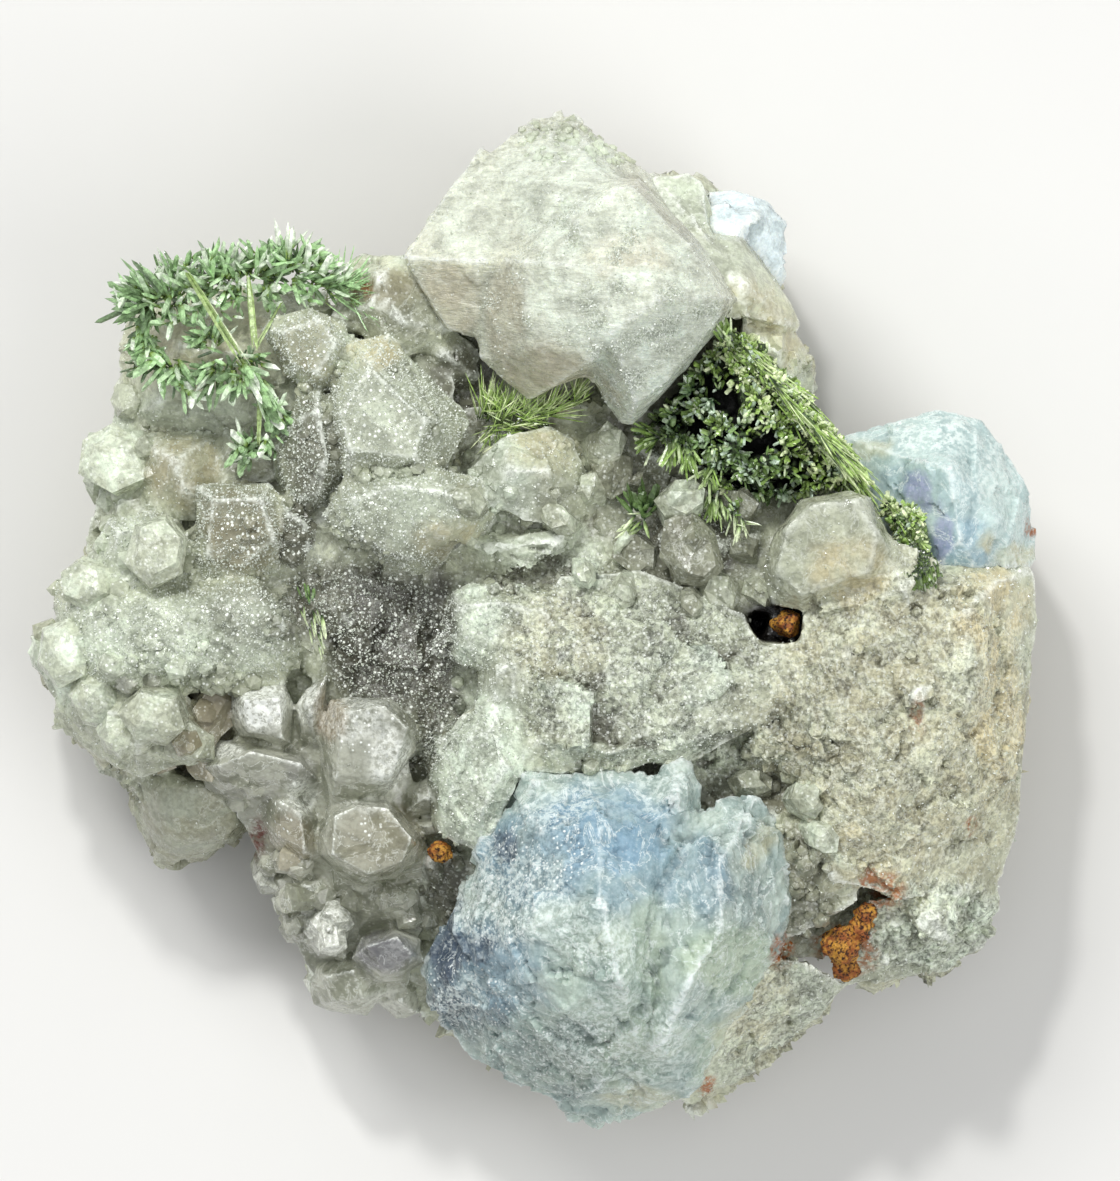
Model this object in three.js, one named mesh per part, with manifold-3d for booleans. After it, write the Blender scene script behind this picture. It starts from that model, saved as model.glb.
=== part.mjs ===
// Olivenite specimen: green needle sprays on frosted quartz with pale blue fluorite and rusty limonite.
// Millimetres, +Z up. It lies on the flat cut at its back, so the side that is looked at faces +Z.
import * as THREE from "three";
import { ConvexGeometry } from "three/addons/geometries/ConvexGeometry.js";
import { mergeVertices } from "three/addons/utils/BufferGeometryUtils.js";
import Module from "manifold-3d";

const wasm = await Module();
wasm.setup();

// Driving dimensions in millimetres
const WIDTH = 36.9;
const GAP = 0.3;
const FLANK_TIP_INSET = 0.35;
const FLANK_RADIUS = 1.4;
const CHIP_RADIUS = 1.5;
const CHIP_RISE = 0.55;
const NEEDLE_WIDTH = 0.36;
const NEEDLE_LENGTH = 1.6;
const BLANK_SCALE = 2.2;
const SLIVER_AREA = 0.01;
const FOOT_SCALE = 0.75;
const GOLDEN_ANGLE = Math.PI * (3 - Math.sqrt(5));

// Where the specimen lies in the photograph, in its pixels
const PHOTO_LEFT = 28;
const PHOTO_RIGHT = 1040;
const PHOTO_MIDDLE_X = (PHOTO_LEFT + PHOTO_RIGHT) / 2;
const PHOTO_MIDDLE_Y = 619;
const MM_PER_PIXEL = WIDTH / (PHOTO_RIGHT - PHOTO_LEFT);

// Every outline below is a list of photograph x, photograph y and height in millimetres.
// rim is a crystal's widest outline, crown its highest points, root the height that it reaches down to.

const LARGE_TOP_CRYSTAL = {
  backLeft: {
    rim: [[403, 257, 12.2], [480, 146, 10], [493, 153, 10], [560, 260, 13], [475, 338, 12], [448, 330, 11.8]],
    crown: [[405, 258, 12.6], [480, 262, 14]],
    root: 6,
  },
  backRight: {
    rim: [
      [493, 153, 10], [510, 135, 9.6], [528, 118, 9.2], [552, 114, 9], [575, 116, 9], [588, 134, 9],
      [620, 152, 9], [642, 170, 9.5], [700, 240, 10.5], [600, 330, 13], [480, 300, 13],
    ],
    crown: [[560, 200, 13.8], [600, 180, 12.8]],
    root: 6,
  },
  frontLeft: {
    rim: [
      [494, 261, 13.4], [478, 330, 12.6], [480, 358, 12.2], [503, 380, 11.8], [529, 400, 11.4],
      [586, 374, 12.4], [640, 330, 13], [640, 250, 13], [560, 212, 13.6],
    ],
    crown: [
      [525, 262, 15.6], [525, 315, 15.4], [541, 347, 15.2], [592, 362, 15.6],
      [600, 270, 16.8], [610, 335, 16.9],
    ],
    root: 6,
  },
  frontRight: {
    rim: [
      [560, 212, 13.6], [612, 179, 12.8], [640, 180, 12.4], [698, 240, 12.6], [737, 300, 12.6],
      [724, 325, 12.4], [659, 400, 12], [631, 425, 11.6], [620, 423, 11.6], [609, 384, 12], [560, 330, 13],
    ],
    crown: [
      [575, 225, 15.6], [614, 190, 15.3], [632, 188, 15], [688, 245, 15.4], [722, 298, 15], [718, 318, 14.8],
      [668, 382, 14.8], [635, 405, 14.6], [600, 270, 16.8], [610, 335, 16.9], [660, 300, 17.5],
    ],
    root: 6,
  },
};

const WHITE_BACK_CRYSTAL = {
  tip: {
    rim: [
      [705, 188, 7], [735, 188, 7], [770, 200, 6.8], [782, 220, 6.5], [780, 262, 6.5], [788, 270, 6.5],
      [783, 295, 6.5], [740, 280, 8], [700, 235, 8.5], [688, 205, 8],
    ],
    crown: [[735, 235, 9.5], [755, 215, 8.6]],
    root: 3,
  },
};

const BROKEN_CRYSTALS = {
  upperLedge: {
    rim: [[645, 162, 8.5], [662, 178, 9], [705, 235, 11], [740, 290, 11.4], [735, 320, 11.4], [690, 240, 11]],
    crown: [[700, 262, 12]],
    root: 3,
  },
  backLedge: {
    rim: [[660, 178, 9], [688, 172, 8.6], [700, 180, 8.6], [706, 190, 8.8], [708, 232, 10], [690, 225, 10]],
    crown: [],
    root: 3,
  },
  middleLedge: {
    rim: [
      [700, 235, 10.6], [740, 240, 9.8], [760, 262, 9.8], [790, 300, 9.4], [802, 325, 9],
      [790, 328, 10], [745, 318, 11.6], [712, 262, 11.4],
    ],
    crown: [[745, 285, 12]],
    root: 2.6,
  },
  lowerLedge: {
    rim: [
      [742, 322, 10.6], [790, 325, 9.4], [800, 338, 8.6], [812, 360, 8], [816, 388, 7.6],
      [812, 402, 7.6], [790, 408, 8.4], [740, 350, 10.4],
    ],
    crown: [[775, 350, 10.8]],
    root: 2.6,
  },
};

const RIGHT_CRYSTAL = {
  block: {
    rim: [
      [762, 568, 11.5], [774, 535, 12], [800, 500, 12.5], [850, 490, 12.5], [870, 497, 12.5],
      [893, 545, 11.5], [888, 552, 11.3], [912, 580, 10.5], [900, 600, 10.6], [802, 609, 12],
      [770, 606, 11.5],
    ],
    crown: [
      [784, 530, 13.6], [812, 504, 13.8], [856, 500, 13.8], [878, 535, 13.6], [868, 572, 13.2],
      [802, 596, 13], [776, 572, 13.2],
    ],
    root: 6,
  },
};

const RIGHT_FLANK = {
  upper: {
    rim: [
      [805, 610, 12], [870, 570, 12], [915, 590, 11.6], [950, 595, 11.2], [1000, 580, 10.2], [1036, 570, 8],
      [1038, 620, 7.8], [1030, 680, 8], [1022, 760, 7.8], [1020, 820, 7.4], [1003, 880, 7.2],
      [900, 900, 10.5], [830, 880, 11.5], [800, 800, 11.8], [770, 700, 12],
    ],
    crown: [
      [850, 650, 13], [900, 700, 12.8], [960, 660, 11.6], [880, 800, 12.6], [960, 780, 11],
      [830, 740, 12.9], [965, 610, 12], [968, 700, 12],
    ],
    root: 0.8,
    inset: 0.64,
  },
  lowerRight: {
    rim: [
      [870, 900, 9.8], [960, 890, 9], [1002, 885, 7], [1000, 912, 6.4], [985, 948, 5.8], [955, 955, 6],
      [945, 975, 5.8], [905, 980, 6.4], [850, 990, 7], [845, 960, 8.6], [850, 930, 9.2],
    ],
    crown: [[900, 930, 9.6], [950, 915, 8.6]],
    root: 0.8,
    inset: 0.5,
  },
  lowerLeft: {
    rim: [
      [720, 960, 10.5], [800, 960, 9.8], [850, 985, 7.6], [820, 1018, 6.6], [790, 1040, 6.2], [760, 1062, 6],
      [742, 1075, 5.8], [712, 1096, 5.6], [692, 1113, 5.4], [680, 1100, 6.5], [700, 1040, 9],
    ],
    crown: [[760, 1000, 9.4]],
    root: 0.8,
    inset: 0.5,
  },
  innerLedge: {
    rim: [
      [690, 780, 9], [790, 770, 10], [830, 800, 11], [860, 900, 10.6], [790, 940, 9.8],
      [770, 850, 9.5], [700, 800, 9],
    ],
    crown: [[800, 870, 11.2], [820, 830, 11.6]],
    root: 4,
  },
};

const MIDDLE = {
  blade: {
    rim: [
      [470, 468, 11.5], [500, 438, 11.5], [550, 425, 11], [572, 440, 10.8], [566, 480, 10.6],
      [600, 500, 10.4], [570, 525, 11], [520, 520, 11.8], [490, 500, 12],
    ],
    crown: [[510, 470, 12.8], [545, 470, 12.4]],
    root: 6,
  },
  spikedLedge: {
    rim: [
      [442, 545, 10.6], [480, 545, 11], [520, 535, 11.4], [570, 530, 11], [575, 560, 10.6],
      [500, 568, 10.6], [495, 585, 10],
    ],
    crown: [[500, 548, 11.8], [552, 542, 11.6], [540, 558, 11.2]],
    root: 6,
  },
  leftStep: {
    rim: [
      [437, 650, 10.8], [443, 615, 11], [452, 592, 11.2], [470, 583, 11.3], [560, 590, 12],
      [560, 640, 12.6], [515, 670, 12], [460, 665, 11],
    ],
    crown: [[462, 606, 12.2], [500, 602, 12.6], [545, 612, 12.8], [530, 648, 12.6], [470, 646, 12]],
    root: 6,
  },
  plateau: {
    rim: [
      [510, 640, 12], [560, 575, 11.8], [640, 570, 11.6], [700, 600, 11.6], [745, 612, 11.6],
      [765, 645, 11.8], [820, 660, 12], [770, 720, 12], [700, 760, 11.8], [560, 770, 11.8], [500, 765, 11.8],
    ],
    crown: [
      [560, 655, 13], [650, 640, 12.9], [720, 680, 12.8], [700, 738, 12.6], [610, 752, 12.6], [540, 742, 12.6],
    ],
    root: 6,
  },
  leftFoot: {
    rim: [
      [430, 775, 10.5], [440, 740, 11], [462, 712, 11.2], [480, 715, 11.4], [500, 700, 12], [520, 770, 12],
      [500, 810, 11.5], [480, 850, 10.8], [455, 843, 10.6], [438, 832, 10.4],
    ],
    crown: [[466, 738, 12.4], [492, 728, 12.8], [504, 765, 12.8], [482, 812, 12], [454, 790, 11.8]],
    root: 6,
  },
  notch: {
    rim: [[478, 655, 11], [525, 640, 12], [530, 705, 12], [500, 722, 11.4], [476, 705, 11]],
    crown: [[500, 668, 12.4], [516, 664, 12.5], [514, 696, 12.4], [494, 700, 12.2]],
    root: 8,
  },
  lowerStep: {
    rim: [
      [740, 745, 11.2], [770, 722, 11.6], [800, 740, 11.8], [860, 790, 11.4], [840, 800, 11],
      [790, 775, 10.8], [760, 765, 10.6],
    ],
    crown: [[778, 738, 12.4], [838, 784, 12], [802, 766, 12.2]],
    root: 8,
  },
  darkValley: {
    rim: [
      [280, 585, 9], [340, 560, 9], [440, 570, 9], [450, 600, 9], [440, 660, 9], [500, 670, 9],
      [490, 715, 9], [440, 740, 9], [430, 760, 9], [330, 700, 9], [290, 650, 9],
    ],
    crown: [[350, 620, 10], [420, 600, 9.8], [400, 690, 9.6]],
    root: 5,
  },
};

const SMALL_CRYSTALS = {
  besideTuft: {
    rim: [[582, 440, 9.8], [605, 436, 10], [618, 455, 10], [620, 480, 9.8], [600, 482, 9.6], [584, 465, 9.6]],
    crown: [[600, 452, 11]],
    root: 8,
  },
  bright: {
    rim: [
      [660, 495, 10.5], [675, 483, 10.8], [705, 490, 10.6], [712, 505, 10.4],
      [700, 520, 10.2], [665, 520, 10.2],
    ],
    crown: [[676, 493, 11.6], [698, 495, 11.6], [702, 510, 11.2], [674, 512, 11.2]],
    root: 8,
  },
  wideClear: {
    rim: [
      [645, 540, 10], [665, 520, 10.3], [710, 520, 10.3], [738, 535, 10], [735, 565, 9.6],
      [700, 575, 9.6], [655, 565, 9.6],
    ],
    crown: [[668, 536, 11.2], [698, 530, 11.6], [722, 546, 11.2], [702, 564, 10.8], [668, 558, 10.8]],
    root: 8,
  },
  narrowClear: {
    rim: [[738, 520, 9.6], [765, 525, 9.6], [772, 550, 9.6], [750, 560, 9.4], [738, 550, 9.4]],
    crown: [[755, 540, 10.6]],
    root: 8,
  },
  abovePit: {
    rim: [[695, 575, 9.8], [735, 572, 9.8], [750, 595, 9.6], [742, 612, 9.6], [700, 610, 9.8]],
    crown: [[708, 582, 11], [732, 584, 11.2], [736, 602, 10.9]],
    root: 8,
  },
  underMass: {
    rim: [[718, 495, 9.8], [765, 498, 9.8], [768, 515, 9.6], [740, 522, 9.6], [720, 515, 9.6]],
    crown: [[745, 505, 10.6]],
    root: 8,
  },
  whiteChip: {
    rim: [[570, 560, 10.4], [598, 558, 10.4], [602, 580, 10.2], [590, 592, 10], [568, 580, 10.2]],
    crown: [[588, 572, 12.4]],
    root: 8,
  },
  slimChip: {
    rim: [[610, 545, 10.6], [622, 532, 10.8], [634, 535, 10.7], [622, 560, 10.2], [612, 560, 10.2]],
    crown: [[620, 545, 11.2]],
    root: 8,
  },
  clearBack: {
    rim: [[630, 440, 9.5], [665, 450, 9.5], [680, 480, 9.3], [650, 490, 9.2], [630, 470, 9.2]],
    crown: [[642, 450, 10.4], [662, 460, 10.6], [666, 478, 10.2]],
    root: 8,
  },
};

const SMOKY_CRYSTALS = {
  underSpray: {
    rim: [
      [118, 345, 7.5], [128, 308, 8], [180, 284, 8.6], [250, 284, 9], [330, 290, 9.4], [300, 392, 10],
      [275, 430, 9.5], [215, 435, 9], [150, 432, 8.2], [122, 422, 7.5], [125, 390, 7.2],
    ],
    crown: [[180, 345, 10.2], [230, 355, 10.6], [160, 400, 9.6]],
    root: 3,
  },
  leftEdge: {
    rim: [
      [93, 455, 7], [100, 437, 7.2], [125, 420, 7.8], [150, 432, 8.5],
      [135, 470, 8.2], [128, 485, 8], [103, 486, 7.2],
    ],
    crown: [[115, 445, 8.6]],
    root: 3.4,
  },
  leftEdgeLow: {
    rim: [[97, 490, 6.8], [103, 484, 7], [140, 480, 8.2], [150, 508, 8.5], [108, 520, 8], [96, 505, 7]],
    crown: [[120, 500, 8.6]],
    root: 3.4,
  },
  brown: {
    rim: [
      [132, 440, 8.6], [150, 432, 8.8], [212, 438, 9.4], [222, 460, 9.6], [205, 500, 9.6],
      [190, 520, 9.4], [150, 506, 9], [135, 475, 8.6],
    ],
    crown: [[175, 460, 10.6], [185, 490, 10.4]],
    root: 5,
  },
  besideBrown: {
    rim: [[222, 430, 9.5], [275, 430, 10], [275, 480, 10], [230, 482, 10], [205, 480, 9.6]],
    crown: [[250, 455, 10.6]],
    root: 6,
  },
  behindSpray: {
    rim: [
      [338, 285, 10.5], [345, 262, 10.2], [362, 253, 10], [404, 257, 10.8], [415, 275, 11.2], [448, 330, 11],
      [430, 350, 10.8], [400, 352, 11], [360, 330, 11], [335, 318, 10.8],
    ],
    crown: [[380, 275, 12], [400, 320, 12.2], [370, 305, 12]],
    root: 4,
  },
  underTopCrystal: {
    rim: [
      [405, 345, 10], [440, 330, 10.3], [472, 345, 10], [478, 380, 9.6], [440, 385, 9.4], [410, 370, 9.6],
    ],
    crown: [[440, 352, 11]],
    root: 6,
  },
};

const LOWER_LEFT_EDGE = {
  whiteEdge: {
    rim: [
      [28, 642, 6.5], [42, 630, 6.8], [58, 628, 7], [82, 650, 7.6], [92, 680, 7.4], [80, 697, 7],
      [58, 700, 6.5], [44, 695, 6], [34, 665, 6],
    ],
    crown: [[50, 646, 8], [70, 648, 8.6], [78, 674, 8.2], [55, 680, 7.6]],
    root: 3.2,
  },
  shelf: {
    rim: [
      [48, 712, 6], [62, 698, 7.2], [100, 690, 9], [140, 690, 9.8], [190, 700, 9.6], [222, 722, 9],
      [195, 760, 8.6], [172, 768, 8.2], [140, 778, 7.6], [118, 770, 7.2], [88, 750, 6.8], [60, 732, 6.2],
    ],
    crown: [[105, 712, 9.8], [160, 712, 10.6], [175, 740, 10], [135, 745, 9.8]],
    root: 2.6,
  },
  whiteBack: {
    rim: [
      [125, 770, 5.6], [165, 772, 6.8], [240, 795, 6.8], [246, 820, 5.8], [228, 855, 5],
      [200, 866, 4.6], [155, 872, 4.2], [140, 850, 4.2], [130, 810, 4.6],
    ],
    crown: [[158, 798, 7.6], [195, 786, 8], [228, 804, 7.6], [222, 836, 6.8], [170, 846, 6.6]],
    root: 1,
  },
};

const LEFT_CLUSTER = {
  nearSpray: {
    rim: [
      [262, 330, 11.5], [275, 318, 11.8], [310, 308, 12], [345, 322, 12], [352, 345, 12.2], [330, 385, 12],
      [303, 390, 11.5], [285, 375, 11.2],
    ],
    crown: [[282, 332, 12.8], [318, 320, 13.4], [338, 342, 13.4], [318, 372, 13], [294, 366, 12.6]],
    root: 8,
  },
  upperCentre: {
    rim: [
      [335, 380, 12.2], [352, 340, 12], [388, 336, 12], [400, 352, 11.8], [430, 385, 11.5], [462, 408, 11.3],
      [470, 425, 11.3], [440, 480, 12.5], [345, 478, 12.5], [325, 440, 12], [328, 400, 12],
    ],
    crown: [[370, 368, 13.8], [425, 420, 13.8], [415, 458, 13.8], [352, 450, 13.8], [342, 412, 13.6]],
    root: 8,
  },
  centre: {
    rim: [
      [322, 515, 11.5], [345, 478, 12.5], [440, 470, 13], [480, 478, 12.5], [497, 505, 11.5],
      [490, 530, 10.5], [440, 572, 10], [410, 580, 9.8], [372, 560, 10], [345, 545, 10.5],
    ],
    crown: [
      [355, 500, 13.4], [400, 486, 14], [455, 496, 13.9], [462, 528, 12.8], [408, 558, 12.4], [362, 540, 12.8],
    ],
    root: 8,
  },
  betweenTall: {
    rim: [
      [272, 450, 10.8], [300, 392, 11.5], [318, 380, 11.8], [328, 400, 12], [335, 470, 12], [345, 485, 11],
      [322, 515, 10], [305, 520, 9.5], [280, 490, 10],
    ],
    crown: [[300, 418, 12.6], [318, 410, 13], [328, 455, 13], [320, 492, 12], [300, 502, 11.6]],
    root: 8,
  },
  middleLeft: {
    rim: [
      [198, 486, 10.8], [212, 483, 11], [270, 484, 11], [283, 500, 10.8], [285, 545, 10.5], [278, 572, 10],
      [240, 590, 9.5], [190, 588, 9.5], [192, 555, 10], [200, 520, 10.5],
    ],
    crown: [[213, 500, 12], [262, 498, 12.4], [274, 540, 11.8], [240, 568, 11.4], [206, 556, 11.6]],
    root: 8,
  },
  small: {
    rim: [
      [275, 497, 10.5], [300, 498, 10.5], [318, 520, 10], [326, 545, 9.5], [312, 572, 9],
      [292, 580, 9], [272, 560, 9.5],
    ],
    crown: [[286, 510, 11.6], [305, 522, 11.5], [308, 548, 10.8], [290, 560, 10.6]],
    root: 7.5,
  },
  leftPair: {
    rim: [
      [108, 520, 10], [150, 508, 10.2], [175, 520, 10.2], [196, 545, 10], [188, 585, 9.5],
      [150, 595, 9.5], [105, 598, 9.3], [85, 560, 8.8],
    ],
    crown: [[118, 532, 11.2], [165, 528, 11.8], [180, 558, 11.2], [150, 580, 10.8], [110, 572, 10.6]],
    root: 6,
  },
  broadPlate: {
    rim: [
      [52, 580, 8], [80, 560, 8.5], [110, 596, 10.5], [200, 590, 11], [275, 600, 11], [290, 640, 10.5],
      [283, 680, 10], [235, 682, 10.5], [180, 672, 10.8], [135, 682, 10], [95, 695, 9], [70, 690, 8.2],
      [58, 650, 7.8], [48, 610, 7.6],
    ],
    crown: [
      [76, 600, 10], [135, 606, 11.9], [215, 606, 12.3], [268, 622, 12], [262, 664, 11.2], [180, 658, 11.8],
      [110, 672, 10.8], [72, 650, 9.8],
    ],
    root: 4.6,
  },
  plateRidge: {
    rim: [
      [205, 600, 10.6], [225, 575, 10.8], [260, 580, 10.8], [290, 610, 10.4], [300, 650, 10],
      [290, 672, 9.8], [270, 650, 10.8],
    ],
    crown: [[232, 588, 12.2], [258, 592, 12.4], [284, 626, 12], [274, 650, 11.6], [240, 620, 12.6]],
    root: 8,
  },
};

const CLEAR_CLUSTER = {
  bed: {
    rim: [
      [240, 705, 8.8], [400, 705, 10.2], [425, 860, 8.6], [405, 1000, 5.4], [320, 1000, 4.8],
      [268, 870, 6], [222, 780, 7.6],
    ],
    crown: [[360, 760, 10.4], [365, 860, 9.2]],
    root: 3.4,
  },
  topLeft: {
    rim: [
      [230, 700, 9.5], [240, 688, 9.8], [285, 685, 10], [293, 705, 9.8], [294, 745, 9.2],
      [278, 752, 9], [235, 738, 8.8], [228, 722, 9],
    ],
    crown: [[244, 700, 11.4], [280, 698, 11.4], [282, 738, 10.8], [248, 732, 10.6]],
    root: 6,
  },
  leftPointing: {
    rim: [
      [196, 768, 8.6], [222, 742, 8.8], [245, 738, 9], [300, 752, 9.5], [318, 780, 9.5],
      [300, 800, 8.8], [232, 801, 8], [215, 795, 7.9],
    ],
    crown: [[218, 766, 10.2], [252, 752, 10.8], [300, 764, 10.8], [294, 788, 10]],
    root: 5.6,
  },
  upright: {
    rim: [
      [296, 705, 10], [305, 690, 10.3], [327, 675, 10.6], [322, 720, 10.4], [315, 745, 10], [300, 740, 9.8],
    ],
    crown: [[312, 705, 11.4]],
    root: 7,
  },
  tall: {
    rim: [
      [318, 740, 10.5], [330, 700, 11], [350, 697, 11.2], [390, 697, 11.2], [416, 722, 11], [416, 750, 10.8],
      [400, 770, 10.6], [385, 795, 10], [350, 805, 9.8], [330, 818, 9.4], [322, 790, 9.6],
    ],
    crown: [[345, 712, 12.6], [385, 706, 13], [407, 728, 12.6], [392, 776, 11.8], [358, 796, 11], [336, 776, 11.8]],
    root: 7,
  },
  hexagon: {
    rim: [
      [318, 830, 9.5], [330, 808, 9.8], [352, 798, 10], [385, 800, 10], [402, 815, 9.8], [420, 835, 9.5],
      [428, 848, 9.2], [420, 862, 9], [395, 880, 8.8], [362, 888, 8.6], [340, 878, 8.7], [318, 855, 9],
    ],
    crown: [
      [336, 816, 11.6], [356, 806, 11.8], [388, 808, 11.8], [412, 838, 11.5], [402, 862, 11.1],
      [368, 874, 11], [332, 854, 11.2],
    ],
    root: 5,
  },
  smoky: {
    rim: [
      [262, 800, 8.2], [280, 788, 8.6], [300, 800, 9], [318, 820, 9], [318, 860, 8.4], [300, 868, 8],
      [275, 850, 7.6], [262, 830, 7.6],
    ],
    crown: [[280, 802, 9.8], [300, 814, 10.2], [304, 850, 9.6], [280, 838, 9]],
    root: 4.4,
  },
  lowLeft: {
    rim: [
      [270, 880, 6.5], [300, 868, 7.4], [330, 878, 7.6], [335, 905, 7.4], [300, 915, 6.6], [275, 905, 6.2],
    ],
    crown: [[305, 888, 8.6]],
    root: 3.4,
  },
  lowMiddle: {
    rim: [[300, 920, 6.6], [340, 905, 7.2], [350, 930, 7.2], [345, 960, 6.8], [318, 960, 6.2], [303, 945, 6]],
    crown: [[328, 930, 8.6]],
    root: 3,
  },
  lowWide: {
    rim: [
      [350, 960, 7.4], [362, 938, 7.8], [395, 928, 8], [420, 940, 8], [420, 960, 7.8],
      [402, 982, 7.2], [370, 985, 7],
    ],
    crown: [[368, 946, 9.6], [396, 938, 9.9], [411, 954, 9.5], [386, 972, 8.9]],
    root: 3,
  },
  bottom: {
    rim: [
      [306, 985, 4.8], [312, 965, 5.2], [340, 958, 6], [375, 965, 6.4], [385, 995, 5.8],
      [365, 1018, 4.8], [330, 1015, 4.4], [312, 1008, 4.4],
    ],
    crown: [[326, 978, 6.8], [352, 972, 7.3], [362, 1000, 6.6], [332, 1003, 6.3]],
    root: 1.8,
  },
  lowEdge: {
    rim: [[276, 930, 4.8], [285, 915, 5.2], [303, 920, 5.6], [308, 945, 5], [285, 945, 4.5]],
    crown: [[293, 930, 6.4]],
    root: 2.4,
  },
  upperEdge: {
    rim: [[248, 865, 5.2], [255, 850, 5.6], [275, 855, 6.2], [290, 878, 6], [265, 882, 5.4], [250, 878, 5]],
    crown: [[268, 866, 7]],
    root: 3,
  },
  underHexagon: {
    rim: [[335, 885, 7.5], [430, 870, 8], [430, 930, 7.4], [350, 935, 7]],
    crown: [[390, 900, 9]],
    root: 3.6,
  },
  bottomRight: {
    rim: [[385, 990, 5], [415, 985, 5.4], [418, 1020, 4.6], [395, 1022, 4.2], [376, 1005, 4.4]],
    crown: [[400, 1003, 5.8]],
    root: 2.2,
  },
  besideTall: {
    rim: [[404, 790, 9.4], [425, 778, 9.8], [440, 800, 9.8], [432, 815, 9.2], [402, 816, 9.2]],
    crown: [[424, 796, 10.6]],
    root: 7,
  },
  yellow: {
    rim: [[410, 825, 9], [428, 818, 9.2], [455, 825, 9.4], [440, 838, 9], [418, 840, 8.8]],
    crown: [[436, 828, 10]],
    root: 7,
  },
};

const FRONT_FLUORITE = {
  face: {
    rim: [
      [512, 780, 11.5], [545, 762, 11.5], [600, 772, 12], [645, 775, 12.2], [690, 800, 12.5], [692, 845, 13],
      [660, 900, 14], [650, 980, 14], [640, 1050, 11.5], [600, 1090, 9.5], [560, 1110, 7], [520, 1090, 6.5],
      [470, 1065, 6], [435, 1020, 6.5], [425, 975, 7.5], [455, 910, 10], [480, 850, 11],
    ],
    crown: [
      [540, 830, 14], [600, 830, 14.5], [520, 930, 14.5], [600, 900, 16], [560, 1010, 13.5],
      [620, 980, 15.5], [480, 960, 11.8],
    ],
    root: 2.5,
    inset: 0.62,
  },
  rightBlock: {
    rim: [
      [695, 845, 13], [702, 812, 12.5], [730, 800, 12], [758, 795, 11.8], [776, 815, 11.4], [762, 850, 12],
      [790, 900, 11.4], [785, 935, 11], [775, 960, 10.5], [740, 1000, 10.5], [700, 1040, 10.5],
      [690, 1100, 8], [650, 1105, 7.8], [600, 1080, 9], [650, 980, 13], [668, 900, 14],
    ],
    crown: [[720, 860, 14.6], [720, 930, 14.8], [690, 980, 14.4], [660, 1040, 12.5]],
    root: 2.5,
    inset: 0.62,
  },
  topRightChip: {
    rim: [
      [662, 775, 12], [675, 765, 12], [685, 768, 12], [698, 790, 12], [696, 830, 12.5],
      [660, 850, 12.8], [640, 800, 12.6],
    ],
    crown: [[672, 800, 14]],
    root: 9,
  },
  topLeftChip: {
    rim: [[508, 790, 11], [515, 768, 11], [545, 760, 11], [560, 778, 11.5], [550, 800, 12.5], [515, 805, 12]],
    crown: [[535, 782, 12.8]],
    root: 9,
  },
  bottomEdge: {
    rim: [
      [555, 1110, 5.5], [568, 1125, 5], [582, 1122, 5], [592, 1110, 5.8], [640, 1116, 6], [660, 1109, 6.2],
      [680, 1100, 7], [640, 1060, 9], [560, 1060, 9],
    ],
    crown: [[600, 1085, 9]],
    root: 2.5,
    inset: 0.62,
  },
};

const RIGHT_FLUORITE = {
  block: {
    rim: [
      [842, 436, 8], [858, 433, 8.2], [900, 430, 8.3], [920, 418, 8.2], [938, 410, 8], [958, 414, 8],
      [968, 422, 8], [986, 421, 7.5], [992, 440, 7.5], [1010, 462, 7.5], [1026, 478, 7.5], [1036, 505, 7.2],
      [1038, 560, 7.2], [1020, 566, 8.5], [985, 580, 9.5], [940, 586, 9.5], [915, 592, 9.4],
      [880, 500, 9], [862, 470, 8.6],
    ],
    crown: [[900, 455, 9.8], [950, 470, 11], [960, 540, 11], [1000, 520, 10]],
    root: 4,
  },
};

// Olivenite cushions under the needles
const LEFT_SPRAY_PATHS = {
  across: [[116, 306, 10.4], [160, 282, 11], [215, 268, 11.4], [275, 268, 11.4], [336, 283, 11.6]],
  down: [[196, 280, 11.4], [228, 334, 12.2], [256, 382, 12], [268, 404, 11.6]],
  downLeft: [[266, 400, 11.6], [240, 452, 11.4]],
  branch: [[138, 298, 11], [158, 345, 11.5], [184, 382, 11.2]],
};
const RIGHT_MASS = {
  cushion: {
    rim: [
      [725, 332, 12], [760, 348, 11.4], [800, 395, 11], [835, 438, 10.6], [866, 490, 10.4], [858, 500, 10.6],
      [800, 502, 10.6], [740, 502, 10.6], [700, 480, 10.6], [645, 452, 10.2], [638, 430, 10.4],
      [672, 400, 11.4], [702, 362, 12],
    ],
    crown: [
      [735, 370, 13.4], [700, 410, 12.8], [690, 445, 12.2], [760, 400, 13.6], [740, 440, 13.2],
      [790, 450, 13], [740, 480, 12], [810, 480, 12],
    ],
    root: 7,
  },
  ridge: {
    rim: [
      [728, 330, 12.2], [752, 338, 11.6], [800, 388, 11], [848, 446, 10.6], [872, 486, 10.4],
      [850, 488, 11], [800, 430, 12.4], [752, 372, 12.8],
    ],
    crown: [[775, 386, 13.9], [820, 436, 13.6], [750, 355, 13.6]],
    root: 8,
  },
};
const POCKET_CUSHION = {
  cushion: {
    rim: [
      [880, 502, 9.6], [912, 492, 9.6], [934, 512, 9.4], [940, 545, 9.4], [934, 580, 9.6],
      [918, 588, 9.8], [896, 545, 10],
    ],
    crown: [[915, 520, 11.4], [922, 560, 11.4]],
    root: 8,
  },
};
const CENTRE_TUFT = {
  cushion: {
    rim: [
      [482, 392, 9.6], [500, 380, 10], [545, 404, 10.4], [585, 388, 10.4], [592, 402, 10],
      [560, 425, 9.8], [510, 432, 9.6], [484, 425, 9.4],
    ],
    crown: [[505, 405, 11], [560, 408, 11.2]],
    root: 8,
  },
};
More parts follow.
